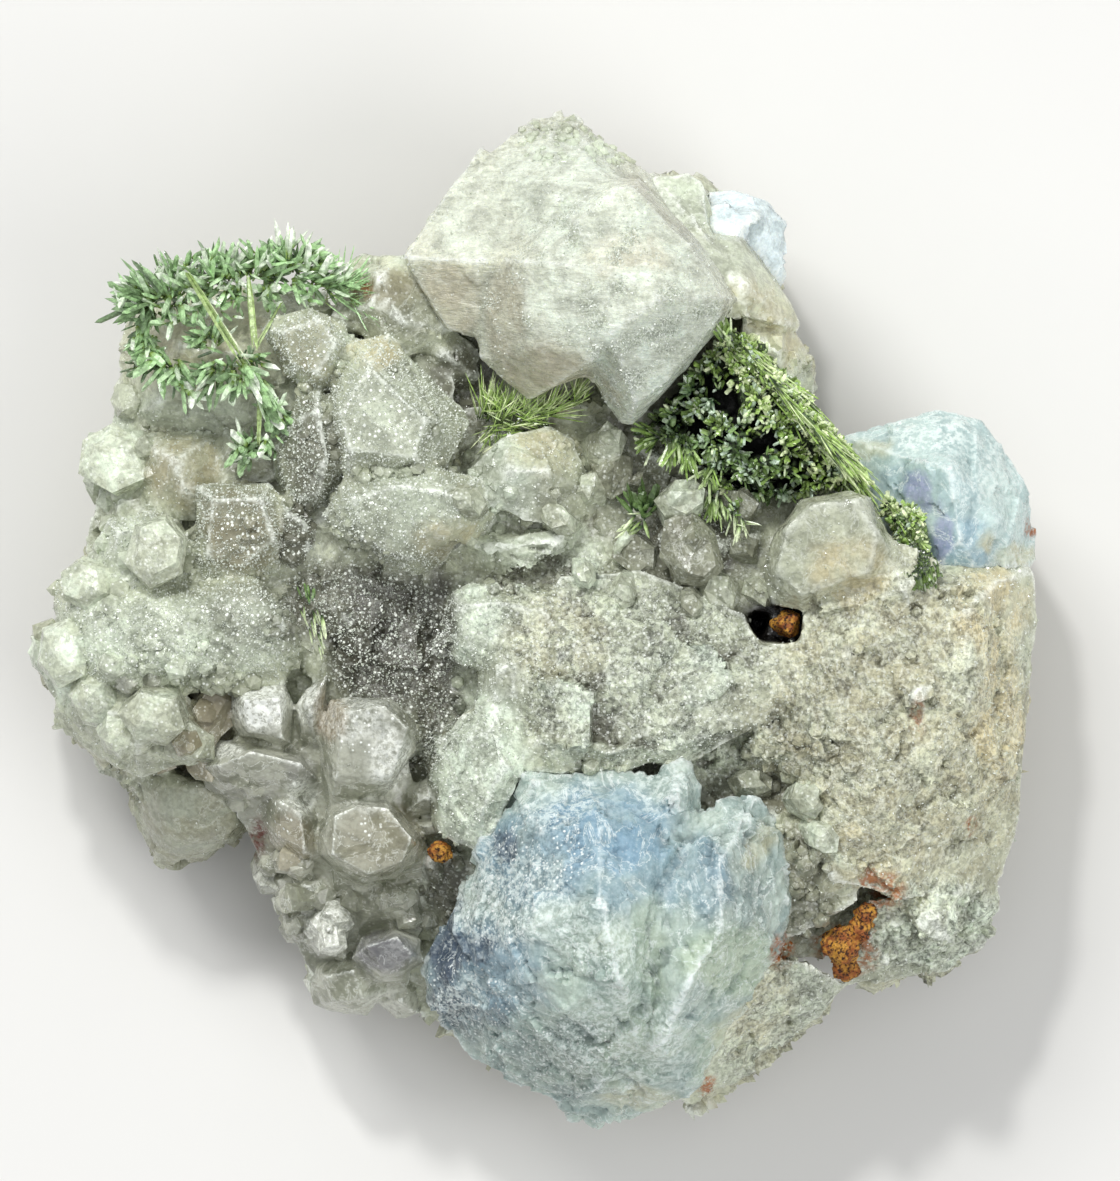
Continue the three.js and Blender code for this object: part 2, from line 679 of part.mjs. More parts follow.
const SMALL_TUFTS = {
  small_tuft_middle: [640, 505, 11],
  small_tuft_right: [722, 512, 11.2],
  small_tuft_left: [312, 605, 10.2],
};

// Limonite lumps, each with its radius
const LIMONITE = {
  limonite_in_pit: [[791, 628, 11.2, 0.62], [778, 633, 10.95, 0.5]],
  limonite_lower_right: [
    [842, 945, 9.6, 0.85], [862, 930, 9.8, 0.6], [846, 968, 9, 0.6], [872, 892, 10.4, 0.5],
    [884, 884, 10.6, 0.55], [866, 912, 10, 0.5],
  ],
  limonite_beside_fluorite: [[440, 853, 9.9, 0.45], [430, 868, 9.7, 0.35]],
};

// The massive body: each block's top outline at its own height, drawn in to the flat cut at z = 0
const BODY_BLOCKS = {
  left: {
    rim: [
      [125, 348, 7.5], [300, 300, 9], [450, 330, 10], [460, 480, 11], [440, 600, 9.6], [330, 680, 8.6],
      [230, 740, 6.4], [180, 810, 4.8], [95, 700, 6], [76, 600, 7.2], [110, 500, 7.4],
    ],
    crown: [[380, 450, 11], [250, 520, 9.4], [240, 620, 9.2]],
    root: 0,
    inset: 0.8,
  },
  top: {
    rim: [
      [420, 270, 9], [495, 172, 8], [600, 160, 7.5], [700, 205, 6.4], [780, 300, 6.4], [805, 400, 6.6],
      [620, 480, 9], [450, 450, 9],
    ],
    crown: [],
    root: 0,
    inset: 0.8,
  },
  middle: {
    rim: [
      [300, 420, 10], [560, 400, 9.6], [760, 430, 9.4], [860, 520, 9], [900, 700, 9], [860, 900, 8.6],
      [760, 960, 9], [560, 1000, 9], [440, 1000, 5], [345, 965, 4], [275, 880, 4], [250, 780, 4.4],
      [300, 640, 7.4],
    ],
    crown: [[800, 700, 10.6], [560, 560, 10.8], [690, 500, 10]],
    root: 0,
    inset: 0.88,
  },
  right: {
    rim: [
      [740, 450, 9], [850, 440, 7.4], [1000, 480, 6.4], [1018, 700, 6.4], [985, 880, 6], [900, 955, 6],
      [760, 960, 9], [700, 700, 9],
    ],
    crown: [],
    root: 0,
    inset: 0.82,
  },
  front: {
    rim: [
      [430, 860, 9], [700, 820, 9], [800, 930, 8.6], [760, 1035, 5], [680, 1085, 4.6], [570, 1095, 4.4],
      [470, 1045, 4.4], [400, 1000, 4.4],
    ],
    crown: [],
    root: 0,
    inset: 0.8,
  },
};
const PIT = {
  opening: {
    rim: [
      [742, 612, 14], [770, 604, 14], [802, 610, 14], [807, 624, 14], [802, 642, 14], [780, 648, 14],
      [756, 642, 14],
    ],
    crown: [],
    root: 10.3,
    inset: 0.85,
  },
  shaft: {
    rim: [[745, 614, 14], [764, 607, 14], [772, 618, 14], [770, 638, 14], [757, 640, 14]],
    crown: [],
    root: 7,
    inset: 0.9,
  },
};

// The outer edge seen from above, for the small crystals round the side
const EDGE = [
  [118, 345], [262, 330], [403, 262], [480, 150], [552, 118], [642, 170], [780, 222], [812, 380],
  [935, 430], [1030, 490], [1034, 650], [1020, 820], [990, 940], [850, 985], [700, 1095], [560, 1105],
  [440, 1020], [312, 1000], [262, 870], [140, 862], [60, 725], [34, 650], [90, 530], [98, 450],
];
// Broad faces with chips: middle, reach across and down in photograph pixels, and how many
const CHIP_PATCHES = [
  { middle: [890, 700, 12.5], spread: [75, 130], count: 3 },
  { middle: [905, 925, 9.2], spread: [60, 28], count: 2 },
];
const FLANK_ROWS = [
  { count: 14, height: 2.5, tilt: -0.05, phase: 0 },
  { count: 6, height: 4.6, tilt: 0.2, phase: 0.5 },
];

// A point of the photograph as a point of the specimen
function place([x, y, height = 0]) {
  return new THREE.Vector3((x - PHOTO_MIDDLE_X) * MM_PER_PIXEL, (PHOTO_MIDDLE_Y - y) * MM_PER_PIXEL, height);
}

// Repeatable random numbers from 0 to 1
function randomFrom(seed) {
  let state = seed;
  return () => {
    state = (state * 1664525 + 1013904223) % 4294967296;
    return state / 4294967296;
  };
}

function centreOf(points) {
  const sum = new THREE.Vector3();
  points.forEach((point) => sum.add(point));
  return sum.divideScalar(points.length);
}

// The corner points of one crystal
function corners({ rim, crown, root, inset = FOOT_SCALE }) {
  const edge = rim.map(place);
  const centre = centreOf(edge);
  const foot = edge
    .filter((_, i) => i % 2 === 0)
    .map((point) => point.clone().lerp(centre, 1 - inset).setZ(root));
  return [...edge, ...crown.map(place), ...foot];
}

// A six-sided quartz crystal with a point, along a direction
function quartzPoint(base, direction, radius, length, roll) {
  const along = direction.clone().normalize();
  const side = new THREE.Vector3(0, 0, 1).cross(along).normalize();
  const up = along.clone().cross(side);
  const ring = (distance, size) =>
    Array.from({ length: 6 }, (_, i) => {
      const angle = roll + (i * Math.PI) / 3;
      return base
        .clone()
        .addScaledVector(along, distance)
        .addScaledVector(side, Math.cos(angle) * size)
        .addScaledVector(up, Math.sin(angle) * size);
    });
  const tip = base.clone().addScaledVector(along, length);
  return [...ring(0, radius), ...ring(length - radius * 0.9, radius), tip];
}

// A slender three-sided crystal that is widest halfway, from its foot to its tip
function needle(foot, direction, length, width) {
  const along = direction.clone().normalize();
  const side = new THREE.Vector3(-along.y, along.x, 0.2).cross(along).normalize();
  const up = along.clone().cross(side);
  const belt = foot.clone().addScaledVector(along, length * 0.5);
  const tip = foot.clone().addScaledVector(along, length);
  return [
    foot.clone(),
    belt.clone().addScaledVector(side, width / 2),
    belt.clone().addScaledVector(side, -width / 2),
    belt.clone().addScaledVector(up, width / 2),
    tip,
  ];
}

// A rounded lump
function lump([x, y, height, radius], random) {
  const centre = place([x, y, height]);
  const ball = new THREE.IcosahedronGeometry(radius, 0).getAttribute("position");
  const points = [];
  for (let i = 0; i < ball.count; i += 1) {
    points.push(new THREE.Vector3().fromBufferAttribute(ball, i));
  }
  const turn = new THREE.Euler(random() * 3, random() * 3, random() * 3);
  return points.map((point) => point.applyEuler(turn).multiply(new THREE.Vector3(1, 1, 0.85)).add(centre));
}

function solidOf(geometry) {
  geometry.deleteAttribute("normal");
  geometry.deleteAttribute("uv");
  const merged = mergeVertices(geometry, 1e-4);
  const mesh = new wasm.Mesh({
    numProp: 3,
    vertProperties: merged.getAttribute("position").array,
    triVerts: new Uint32Array(merged.index.array),
  });
  return new wasm.Manifold(mesh);
}

const hull = (points) => solidOf(new ConvexGeometry(points));

// The same hull with every face moved out by the clearance
function grownHull(points) {
  const centre = centreOf(points);
  const faces = new ConvexGeometry(points).getAttribute("position");
  const triangle = new THREE.Triangle();
  const plane = new THREE.Plane();
  const done = new Set();
  let solid = hull(points.map((point) => centre.clone().lerp(point, BLANK_SCALE)));
  for (let i = 0; i < faces.count; i += 3) {
    triangle.setFromAttributeAndIndices(faces, i, i + 1, i + 2);
    triangle.getPlane(plane);
    const { x, y, z } = plane.normal;
    const key = [x, y, z, plane.constant].map((value) => value.toFixed(2)).join();
    if (triangle.getArea() > SLIVER_AREA && !done.has(key)) {
      done.add(key);
      solid = solid.trimByPlane([-x, -y, -z], plane.constant - GAP);
    }
  }
  return solid;
}

const joined = (solids) => solids.reduce((whole, solid) => whole.add(solid));

// The largest of the bodies that a cut leaves
function mainBody(solid) {
  const bodies = solid.decompose();
  return bodies.reduce((largest, body) => (body.volume() > largest.volume() ? body : largest));
}

// Small crystals in rows round the side, their tips just inside the outer edge
function flankCrystals() {
  const path = new THREE.CatmullRomCurve3(EDGE.map(place), true, "centripetal");
  const random = randomFrom(11);
  const crystals = [];
  for (const row of FLANK_ROWS) {
    for (let i = 0; i < row.count; i += 1) {
      const u = (i + row.phase) / row.count;
      const edge = path.getPointAt(u % 1);
      const forward = path.getTangentAt(u % 1);
      const outward = new THREE.Vector3(-forward.y, forward.x, row.tilt + (random() - 0.5) * 0.4);
      outward.normalize();
      const radius = FLANK_RADIUS * (0.75 + 0.5 * random());
      const length = radius * 2.6;
      const base = edge.clone().setZ(row.height + (random() - 0.5) * 0.6);
      base.addScaledVector(outward, -FLANK_TIP_INSET - length);
      crystals.push(quartzPoint(base, outward, radius, length, random() * 3));
    }
  }
  return crystals;
}

// Needles that fan out from points along a path
function sprayNeedles(path, count, random) {
  const curve = new THREE.CatmullRomCurve3(path.map(place));
  return Array.from({ length: count }, (_, i) => {
    const foot = curve.getPoint((i + random() * 0.6) / count);
    const turn = i * GOLDEN_ANGLE + random() * 0.6;
    const rise = 0.15 + random() * 0.9;
    const direction = new THREE.Vector3(Math.cos(turn), Math.sin(turn), rise);
    return needle(foot, direction, NEEDLE_LENGTH * (0.75 + 0.4 * random()), NEEDLE_WIDTH);
  });
}

// The six points round a place where a spray's stalk passes
function stalkPoints(point, radius) {
  const reach = [
    [radius, 0, 0], [-radius, 0, 0], [0, radius, 0], [0, -radius, 0], [0, 0, radius * 0.6], [0, 0, -radius],
  ];
  return reach.map((step) => place(point).add(new THREE.Vector3(...step)));
}

// A stalk from each point of a path to the next
function stalk(path, radius) {
  return path.slice(1).map((point, i) => [...stalkPoints(path[i], radius), ...stalkPoints(point, radius)]);
}

// Needles that stand on a cushion's upper side
function cushionNeedles(cushion, count, length, random) {
  const rim = cushion.rim.map(place);
  const top = centreOf(cushion.crown.map(place));
  return Array.from({ length: count }, (_, i) => {
    const edge = rim[i % rim.length];
    const foot = top.clone().lerp(edge, 0.2 + 0.7 * random());
    foot.z -= 0.35;
    const lean = new THREE.Vector3(random() - 0.5, random() - 0.5, 0.9);
    const outward = edge.clone().sub(top).setZ(0).normalize();
    lean.addScaledVector(outward, 0.5);
    return needle(foot, lean, length * (0.8 + 0.4 * random()), NEEDLE_WIDTH * 1.2);
  });
}

const cornersOfAll = (group) => Object.values(group).map(corners);

function leftSpray() {
  const random = randomFrom(5);
  const { across, down, downLeft, branch } = LEFT_SPRAY_PATHS;
  return [
    ...stalk(across, 0.62),
    ...stalk(down, 0.5),
    ...stalk(downLeft, 0.5),
    ...stalk(branch, 0.5),
    ...sprayNeedles(across, 22, random),
    ...sprayNeedles(down, 9, random),
    ...sprayNeedles(downLeft, 5, random),
    ...sprayNeedles(branch, 7, random),
  ];
}

function rightMass() {
  const random = randomFrom(8);
  return [...cornersOfAll(RIGHT_MASS), ...cushionNeedles(RIGHT_MASS.cushion, 17, 1.5, random)];
}

function pocketCushion() {
  const random = randomFrom(9);
  return [...cornersOfAll(POCKET_CUSHION), ...cushionNeedles(POCKET_CUSHION.cushion, 9, 1, random)];
}

function centreTuft() {
  const random = randomFrom(14);
  return [...cornersOfAll(CENTRE_TUFT), ...cushionNeedles(CENTRE_TUFT.cushion, 12, 1.3, random)];
}

function smallTuft([x, y, height], seed) {
  const random = randomFrom(seed);
  const path = [[x, y, height], [x + 3, y + 12, height]];
  return [...stalk(path, 0.5), ...sprayNeedles(path, 4, random)];
}

// Pointed chips scattered over the broad sugary faces
function chips() {
  const random = randomFrom(17);
  return CHIP_PATCHES.flatMap(({ middle, spread, count }) =>
    Array.from({ length: count }, (_, i) => {
      const turn = i * GOLDEN_ANGLE;
      const out = Math.sqrt((i + 0.5) / count);
      const [x, y, height] = middle;
      const across = Math.cos(turn) * out * spread[0];
      const down = Math.sin(turn) * out * spread[1];
      const centre = place([x + across, y + down, height]);
      const radius = CHIP_RADIUS * (0.7 + 0.7 * random());
      const ring = Array.from({ length: 4 }, (_, k) => {
        const angle = (k * Math.PI) / 2 + random();
        const step = new THREE.Vector3(Math.cos(angle) * radius, Math.sin(angle) * radius, -CHIP_RISE);
        return centre.clone().add(step);
      });
      const tip = centre.clone().add(new THREE.Vector3(random() - 0.5, random() - 0.5, CHIP_RISE));
      return [...ring, tip];
    }),
  );
}

// Each piece in turn, cut back where it would touch the ones before it
const pieces = {
  quartz_matrix: [
    ...cornersOfAll(BODY_BLOCKS),
    ...cornersOfAll(MIDDLE),
    ...cornersOfAll(SMALL_CRYSTALS),
    ...cornersOfAll(SMOKY_CRYSTALS),
    ...cornersOfAll(BROKEN_CRYSTALS),
    ...cornersOfAll(RIGHT_CRYSTAL),
    ...cornersOfAll(RIGHT_FLANK),
    ...cornersOfAll(LOWER_LEFT_EDGE),
    ...flankCrystals(),
    ...chips(),
  ],
  large_top_crystal: cornersOfAll(LARGE_TOP_CRYSTAL),
  left_quartz_cluster: cornersOfAll(LEFT_CLUSTER),
  clear_quartz_cluster: cornersOfAll(CLEAR_CLUSTER),
  white_back_crystal: cornersOfAll(WHITE_BACK_CRYSTAL),
  front_fluorite: cornersOfAll(FRONT_FLUORITE),
  right_fluorite: cornersOfAll(RIGHT_FLUORITE),
  left_olivenite_spray: leftSpray(),
  right_olivenite_mass: rightMass(),
  pocket_olivenite: pocketCushion(),
  centre_olivenite_tuft: centreTuft(),
};
Object.entries(SMALL_TUFTS).forEach(([name, point], i) => {
  pieces[name] = smallTuft(point, 21 + i);
});
Object.entries(LIMONITE).forEach(([name, lumps], i) => {
  const random = randomFrom(31 + i);
  pieces[name] = lumps.map((one) => lump(one, random));
});

const finishes = {
  quartz: new THREE.MeshStandardMaterial({ color: 0xbfc2ac, roughness: 0.55, metalness: 0 }),
  clear_quartz: new THREE.MeshStandardMaterial({ color: 0xa9ab96, roughness: 0.2, metalness: 0 }),
  white_quartz: new THREE.MeshStandardMaterial({ color: 0xe2f1ed, roughness: 0.5, metalness: 0 }),
  fluorite: new THREE.MeshStandardMaterial({ color: 0xa3bfcb, roughness: 0.35, metalness: 0 }),
  olivenite: new THREE.MeshStandardMaterial({ color: 0x6f9566, roughness: 0.4, metalness: 0 }),
  limonite: new THREE.MeshStandardMaterial({ color: 0x8a4a18, roughness: 0.9, metalness: 0 }),
};

function finishOf(name) {
  if (name.includes("olivenite") || name.includes("tuft")) return finishes.olivenite;
  if (name.includes("limonite")) return finishes.limonite;
  if (name.includes("fluorite")) return finishes.fluorite;
  if (name.includes("clear")) return finishes.clear_quartz;
  if (name.includes("white")) return finishes.white_quartz;
  return finishes.quartz;
}

function meshOf(name, solid) {
  const { numProp, numVert, vertProperties, triVerts } = solid.getMesh();
  const positions = new Float32Array(numVert * 3);
  for (let i = 0; i < numVert; i += 1) {
    positions.set(vertProperties.subarray(i * numProp, i * numProp + 3), i * 3);
  }
  const geometry = new THREE.BufferGeometry();
  geometry.setAttribute("position", new THREE.BufferAttribute(positions, 3));
  geometry.setIndex(new THREE.BufferAttribute(triVerts, 1));
  const mesh = new THREE.Mesh(geometry, finishOf(name));
  mesh.name = name;
  return mesh;
}

const specimen = new THREE.Group();
const clearances = [];
for (const [name, hulls] of Object.entries(pieces)) {
  let solid = joined(hulls.map(hull));
  if (name === "quartz_matrix") {
    solid = solid.subtract(hull(corners(PIT.opening)));
    solid = solid.subtract(hull(corners(PIT.shaft)));
  }
  for (const clearance of clearances) {
    solid = solid.subtract(clearance);
  }
  solid = mainBody(solid);
  clearances.push(...hulls.map(grownHull));
  specimen.add(meshOf(name, solid));
}

export default specimen;
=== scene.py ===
import math

import bmesh
import bpy
import numpy as np
from mathutils import Matrix, Vector
from mathutils.bvhtree import BVHTree


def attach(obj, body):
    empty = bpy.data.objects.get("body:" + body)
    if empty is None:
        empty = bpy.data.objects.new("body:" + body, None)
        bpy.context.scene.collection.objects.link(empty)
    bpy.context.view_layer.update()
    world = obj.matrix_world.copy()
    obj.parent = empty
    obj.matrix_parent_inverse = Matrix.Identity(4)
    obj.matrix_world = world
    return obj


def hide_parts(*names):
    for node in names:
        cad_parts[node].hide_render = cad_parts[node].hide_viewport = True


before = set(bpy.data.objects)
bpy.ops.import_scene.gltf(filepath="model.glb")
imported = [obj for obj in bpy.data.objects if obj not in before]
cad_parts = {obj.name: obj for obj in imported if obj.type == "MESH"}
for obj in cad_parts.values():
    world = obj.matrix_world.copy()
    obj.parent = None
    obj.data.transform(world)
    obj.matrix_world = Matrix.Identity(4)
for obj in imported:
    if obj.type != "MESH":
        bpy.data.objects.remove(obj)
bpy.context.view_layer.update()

MM = 0.001
# The photograph's scale, and the pixel that lies over the origin
MM_PER_PIXEL = 36.9 / 1012
MIDDLE_X = 534
MIDDLE_Y = 619
PICTURE = (1120, 1181)
CAMERA_DISTANCE = 1000.0
FOCUS_HEIGHT = 11.0
# Above every crystal, and a share that is hardly more than none
HIGH_ABOVE = 25.0
TINY = 1e-9

# Names of CAD nodes that come up often
MATRIX, LEFT, CLEAR_GROUP = "quartz_matrix", "left_quartz_cluster", "clear_quartz_cluster"
TOP_PAIR = "large_top_crystal"
WHITE_BACK, FRONT_BLUE, RIGHT_BLUE = "white_back_crystal", "front_fluorite", "right_fluorite"
CRYSTAL_NODES = [MATRIX, TOP_PAIR, LEFT, CLEAR_GROUP, WHITE_BACK, FRONT_BLUE, RIGHT_BLUE]


def at(x, y, height=0.0):
    """A pixel of the photograph and a height as a point in millimetres."""
    return np.array([(x - MIDDLE_X) * MM_PER_PIXEL, (MIDDLE_Y - y) * MM_PER_PIXEL, height])


# Noise


def scramble(cell, seed):
    """A well mixed 32 bit number for each cell."""
    x, y, z = (cell[:, i].astype(np.int64).astype(np.uint32) for i in range(3))
    h = x * np.uint32(374761393) + y * np.uint32(668265263) + z * np.uint32(2246822519)
    h = h + np.uint32((seed * 3266489917 + 1013904223) % 4294967296)
    h ^= h >> np.uint32(15)
    h *= np.uint32(2246822519)
    h ^= h >> np.uint32(13)
    h *= np.uint32(3266489917)
    h ^= h >> np.uint32(16)
    return h


def three(h):
    """Three numbers from 0 to 1 out of a mixed one."""
    parts = [(h >> np.uint32(s)) & np.uint32(1023) for s in (0, 10, 20)]
    return np.stack(parts, axis=1).astype(np.float32) / 1023


def ripple(p, size, seed):
    """Smooth noise from about -1 to 1 with waves of the given size."""
    q = p / size + 17.3
    cell = np.floor(q)
    f = q - cell
    u = f * f * f * (f * (f * 6 - 15) + 10)
    total = np.zeros(len(p))
    for corner in np.ndindex(2, 2, 2):
        step = np.array(corner)
        slope = three(scramble(cell + step, seed)) * 2 - 1
        weight = np.prod(np.where(step == 1, u, 1 - u), axis=1)
        total += weight * np.sum(slope * (f - step), axis=1)
    return total * 1.5


def rough(p, size, seed, octaves=4, keep=0.5):
    """Several ripples, each half the size of the one before."""
    total, gain, most = 0.0, 1.0, 0.0
    for i in range(octaves):
        total = total + ripple(p, size / 2**i, seed + i * 7) * gain
        most += gain
        gain *= keep
    return total / most


def stray(p, size, seed, octaves, amount):
    """Points shifted by noise, so that the borders of zones wander."""
    shift = [rough(p, size, seed + i, octaves) for i in range(3)]
    return p + np.stack(shift, axis=1) * amount


def grains(p, size, seed):
    """Distances to the two nearest of scattered seeds, and the nearest one's offset and numbers."""
    q = (p / size + 9.1).astype(np.float32)
    cell = np.floor(q)
    first = np.full(len(p), 9.0, np.float32)
    second = first.copy()
    offset = np.zeros((len(p), 3), np.float32)
    key = np.zeros((len(p), 3), np.float32)
    for step in np.ndindex(3, 3, 3):
        here = cell + np.array(step, np.float32) - 1
        h = scramble(here, seed)
        away = q - (here + three(h))
        d = np.einsum("ij,ij->i", away, away)
        closer = d < first
        second = np.where(closer, first, np.minimum(second, d))
        first = np.where(closer, d, first)
        offset[closer] = away[closer]
        key[closer] = three(h * np.uint32(2654435761) ^ (h >> np.uint32(7)))[closer]
    return np.sqrt(first) * size, np.sqrt(second) * size, offset * size, key


def facets(p, size, seed, steep, step):
    """Small flat faces, each leaning its own way, with steps between them."""
    _, _, offset, key = grains(p, size, seed)
    return np.sum(offset * (key * 2 - 1), axis=1) * steep + (key[:, 0] - 0.5) * step


def soft(value, low, high):
    t = np.clip((value - low) / (high - low), 0, 1)
    return t * t * (3 - 2 * t)


def spots(p, places):
    """How strongly a point lies in any of the places: x and y, reach across and down, in pixels, strength."""
    most = np.zeros(len(p))
    for x, y, across, down, strength in places:
        centre = at(x, y)
        dx = (p[:, 0] - centre[0]) / (across * MM_PER_PIXEL)
        dy = (p[:, 1] - centre[1]) / (down * MM_PER_PIXEL)
        most = np.maximum(most, strength * (1 - soft(np.sqrt(dx * dx + dy * dy), 0.6, 1.15)))
    return most


def near_line(p, path, reach):
    """How near a point is, seen from above, to a line through pixels."""
    best = np.full(len(p), 1e9)
    for (ax, ay), (bx, by) in zip(path, path[1:]):
        a, b = at(ax, ay)[:2], at(bx, by)[:2]
        along = b - a
        t = np.clip((p[:, :2] - a) @ along / (along @ along), 0, 1)
        best = np.minimum(best, np.linalg.norm(p[:, :2] - a - t[:, None] * along, axis=1))
    return 1 - soft(best, reach * 0.3, reach)


# Meshes


def fetch(items, field, width, kind=np.float32):
    """One field of all the items as an array of rows."""
    values = np.zeros(len(items) * width, kind)
    items.foreach_get(field, values)
    return values.reshape(-1, width)


def positions(mesh):
    return fetch(mesh.vertices, "co", 3).astype(float)


def normals(mesh):
    return fetch(mesh.vertex_normals, "vector", 3).astype(float)


def set_positions(mesh, co):
    mesh.vertices.foreach_set("co", co.astype(np.float32).ravel())
    mesh.update()


def linked(name, data):
    """A new object that stands in the scene."""
    ob = bpy.data.objects.new(name, data)
    bpy.context.scene.collection.objects.link(ob)
    return ob


def modified(mesh, kind, **settings):
    """The mesh after one modifier. The mesh that went in is removed."""
    work = linked("work", mesh)
    modifier = work.modifiers.new(kind, kind)
    for key, value in settings.items():
        setattr(modifier, key, value)
    result = bpy.data.meshes.new_from_object(work.evaluated_get(bpy.context.evaluated_depsgraph_get()))
    bpy.data.objects.remove(work)
    bpy.data.meshes.remove(mesh)
    return result


def tree_of(names):
    """A search tree over the surfaces of CAD solids, in millimetres."""
    corners, faces, count = [], [], 0
    for name in names:
        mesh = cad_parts[name].data
        mesh.calc_loop_triangles()
        corners.append(fetch(mesh.vertices, "co", 3) / MM)
        faces.append(fetch(mesh.loop_triangles, "vertices", 3, np.int32) + count)
        count += len(mesh.vertices)
    return BVHTree.FromPolygons(np.concatenate(corners).tolist(), np.concatenate(faces).tolist())


def even_mesh(name, voxel):
    """The CAD solid as an even net of small squares, in millimetres."""
    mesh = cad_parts[name].data.copy()
    mesh.transform(Matrix.Scale(1 / MM, 4))
    bm = bmesh.new()
    bm.from_mesh(mesh)
    bmesh.ops.remove_doubles(bm, verts=bm.verts, dist=1e-3)
    bm.to_mesh(mesh)
    bm.free()
    fine = modified(mesh, "REMESH", mode="VOXEL", voxel_size=voxel)
    fine.materials.clear()
    return fine


# Gaps between solids in millimetres: how far to look, the widest that is closed fully, how much farther the
# closing fades out, and how far past the middle of a gap each side reaches, so that no slit shows
SEAM_REACH = 0.55
SEAM_CLOSED = 0.32
SEAM_FADE = 0.23
SEAM_OVERLAP = 0.04


def snap_and_close(co, name):
    """Puts each point on the CAD surface, then closes the gap where two crystals face each other."""
    own = tree_of([name])
    others = tree_of([n for n in CRYSTAL_NODES if n != name])
    out = co.copy()
    for i, point in enumerate(co.tolist()):
        found = own.find_nearest(point, 1.0)[0]
        if found is not None:
            out[i] = found
        place, _, _, gap = others.find_nearest(out[i].tolist(), SEAM_REACH)
        if place is not None:
            share = 1 - min(1.0, max(0.0, (gap - SEAM_CLOSED) / SEAM_FADE))
            out[i] += (np.array(place) - out[i]) * (0.5 + SEAM_OVERLAP / max(gap, 0.05)) * share
    return out


def neighbours(mesh):
    """A function that gives each point the mean of the points joined to it."""
    a, b = fetch(mesh.edges, "vertices", 2, np.int32).T
    size = len(mesh.vertices)
    count = np.maximum(np.bincount(a, minlength=size) + np.bincount(b, minlength=size), 1)[:, None]

    def mean(values):
        around = [np.bincount(a, values[b, i], size) + np.bincount(b, values[a, i], size) for i in range(3)]
        return np.stack(around, axis=1) / count

    return mean


def fill_creases(co, n, mean, rounds, most):
    """Fills the grooves where crystals meet, as crystals grown into each other have none."""
    out = co.copy()
    for _ in range(rounds):
        rise = np.sum((mean(out) - out) * n, axis=1)
        out += n * np.clip(rise, 0, 0.04)[:, None]
    rise = np.clip(np.sum((out - co) * n, axis=1), 0, most)
    return co + n * rise[:, None]


def bulge(mean, co, n, rounds):
    """How far each point stands out from its smoothed neighbours: above 0 on edges, below 0 in creases."""
    even = co
    for _ in range(rounds):
        even = mean(even)
    return np.sum((co - even) * n, axis=1)


def soften(co, mean, share, rounds):
    """Rounds the surface off where share says so."""
    for _ in range(rounds):
        co = co + (mean(co) - co) * share[:, None]
    return co


def add_float(mesh, name, values):
    mesh.attributes.new(name, "FLOAT", "POINT").data.foreach_set("value", values.astype(np.float32))


def lighter(mesh, most):
    """The mesh with fewer triangles where it is flattest."""
    mesh.calc_loop_triangles()
    count = len(mesh.loop_triangles)
    return modified(mesh, "DECIMATE", ratio=most / count) if count > most else mesh


def mesh_of(co, tri):
    """A mesh from arrays of points and triangles."""
    mesh = bpy.data.meshes.new("arrays")
    mesh.vertices.add(len(co))
    mesh.vertices.foreach_set("co", co.astype(np.float32).ravel())
    mesh.loops.add(len(tri) * 3)
    mesh.loops.foreach_set("vertex_index", tri.astype(np.int32).ravel())
    mesh.polygons.add(len(tri))
    mesh.polygons.foreach_set("loop_start", np.arange(len(tri), dtype=np.int32) * 3)
    mesh.update(calc_edges=True)
    return mesh


def finish_piece(mesh, name, material, replaced=(), sharp=None):
    """Scales a mesh from millimetres to metres and makes it a piece of the specimen. Its faces stay flat, or
    edges over sharp degrees stay crisp."""
    mesh.transform(Matrix.Scale(MM, 4))
    if sharp is None:
        mesh.shade_flat()
    else:
        mesh.shade_smooth()
        mesh.set_sharp_from_angle(angle=math.radians(sharp))
    mesh.materials.clear()
    mesh.materials.append(material)
    mesh.name = name
    piece = linked(name, mesh)
    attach(piece, "root")
    if replaced:
        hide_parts(*replaced)


# Each dressed crystal's points, normals and masks, for the small crystals that grow on it
SKIN = {}
SHARP_DEGREES = 40


def crystal(name, voxel, relief, masks, material, most, fill=(14, 0.4), rounded=(), crisp=()):
    """One crystal group: the CAD solid with its own relief and masks for its colours, in at most so many
    triangles. fill, which is rounds and a greatest depth, closes grooves, less so in the crisp places, and
    rounded lists the places of worn, rounded crystals."""
    mesh = even_mesh(name, voxel)
    co = snap_and_close(positions(mesh), name)
    set_positions(mesh, co)
    mean = neighbours(mesh)
    rounds, deepest = fill
    co = fill_creases(co, normals(mesh), mean, rounds, deepest * (1 - 0.8 * spots(co, crisp)))
    if rounded:
        co = soften(co, mean, spots(co, rounded) * soft(co[:, 2], 1.0, 3.0), 60)
    set_positions(mesh, co)
    n = normals(mesh)
    lift = relief(co, n)
    flat = soft(co[:, 2], 0.05, 0.9)
    out = co + n * (lift * flat)[:, None]
    out[:, 2] = np.maximum(out[:, 2], 0.0)
    set_positions(mesh, out)
    colours = masks(co, n, lift)
    # edge is a painted highlight along convex edges, weaker in the places given for it
    colours["edge"] = soft(bulge(mean, co, n, 4), 0.018, 0.05) * (1 - colours.pop("blunt", 0.0))
    # Creases, which the materials darken as painted shade
    colours["crease_shade"] = soft(-bulge(mean, out, normals(mesh), 12), 0.02, 0.14)
    for key, values in colours.items():
        add_float(mesh, key, values)
    SKIN[name] = {"place": out, "facing": n, **colours}
    finish_piece(lighter(mesh, most), name + "_detail", material, [name], SHARP_DEGREES)


# Materials


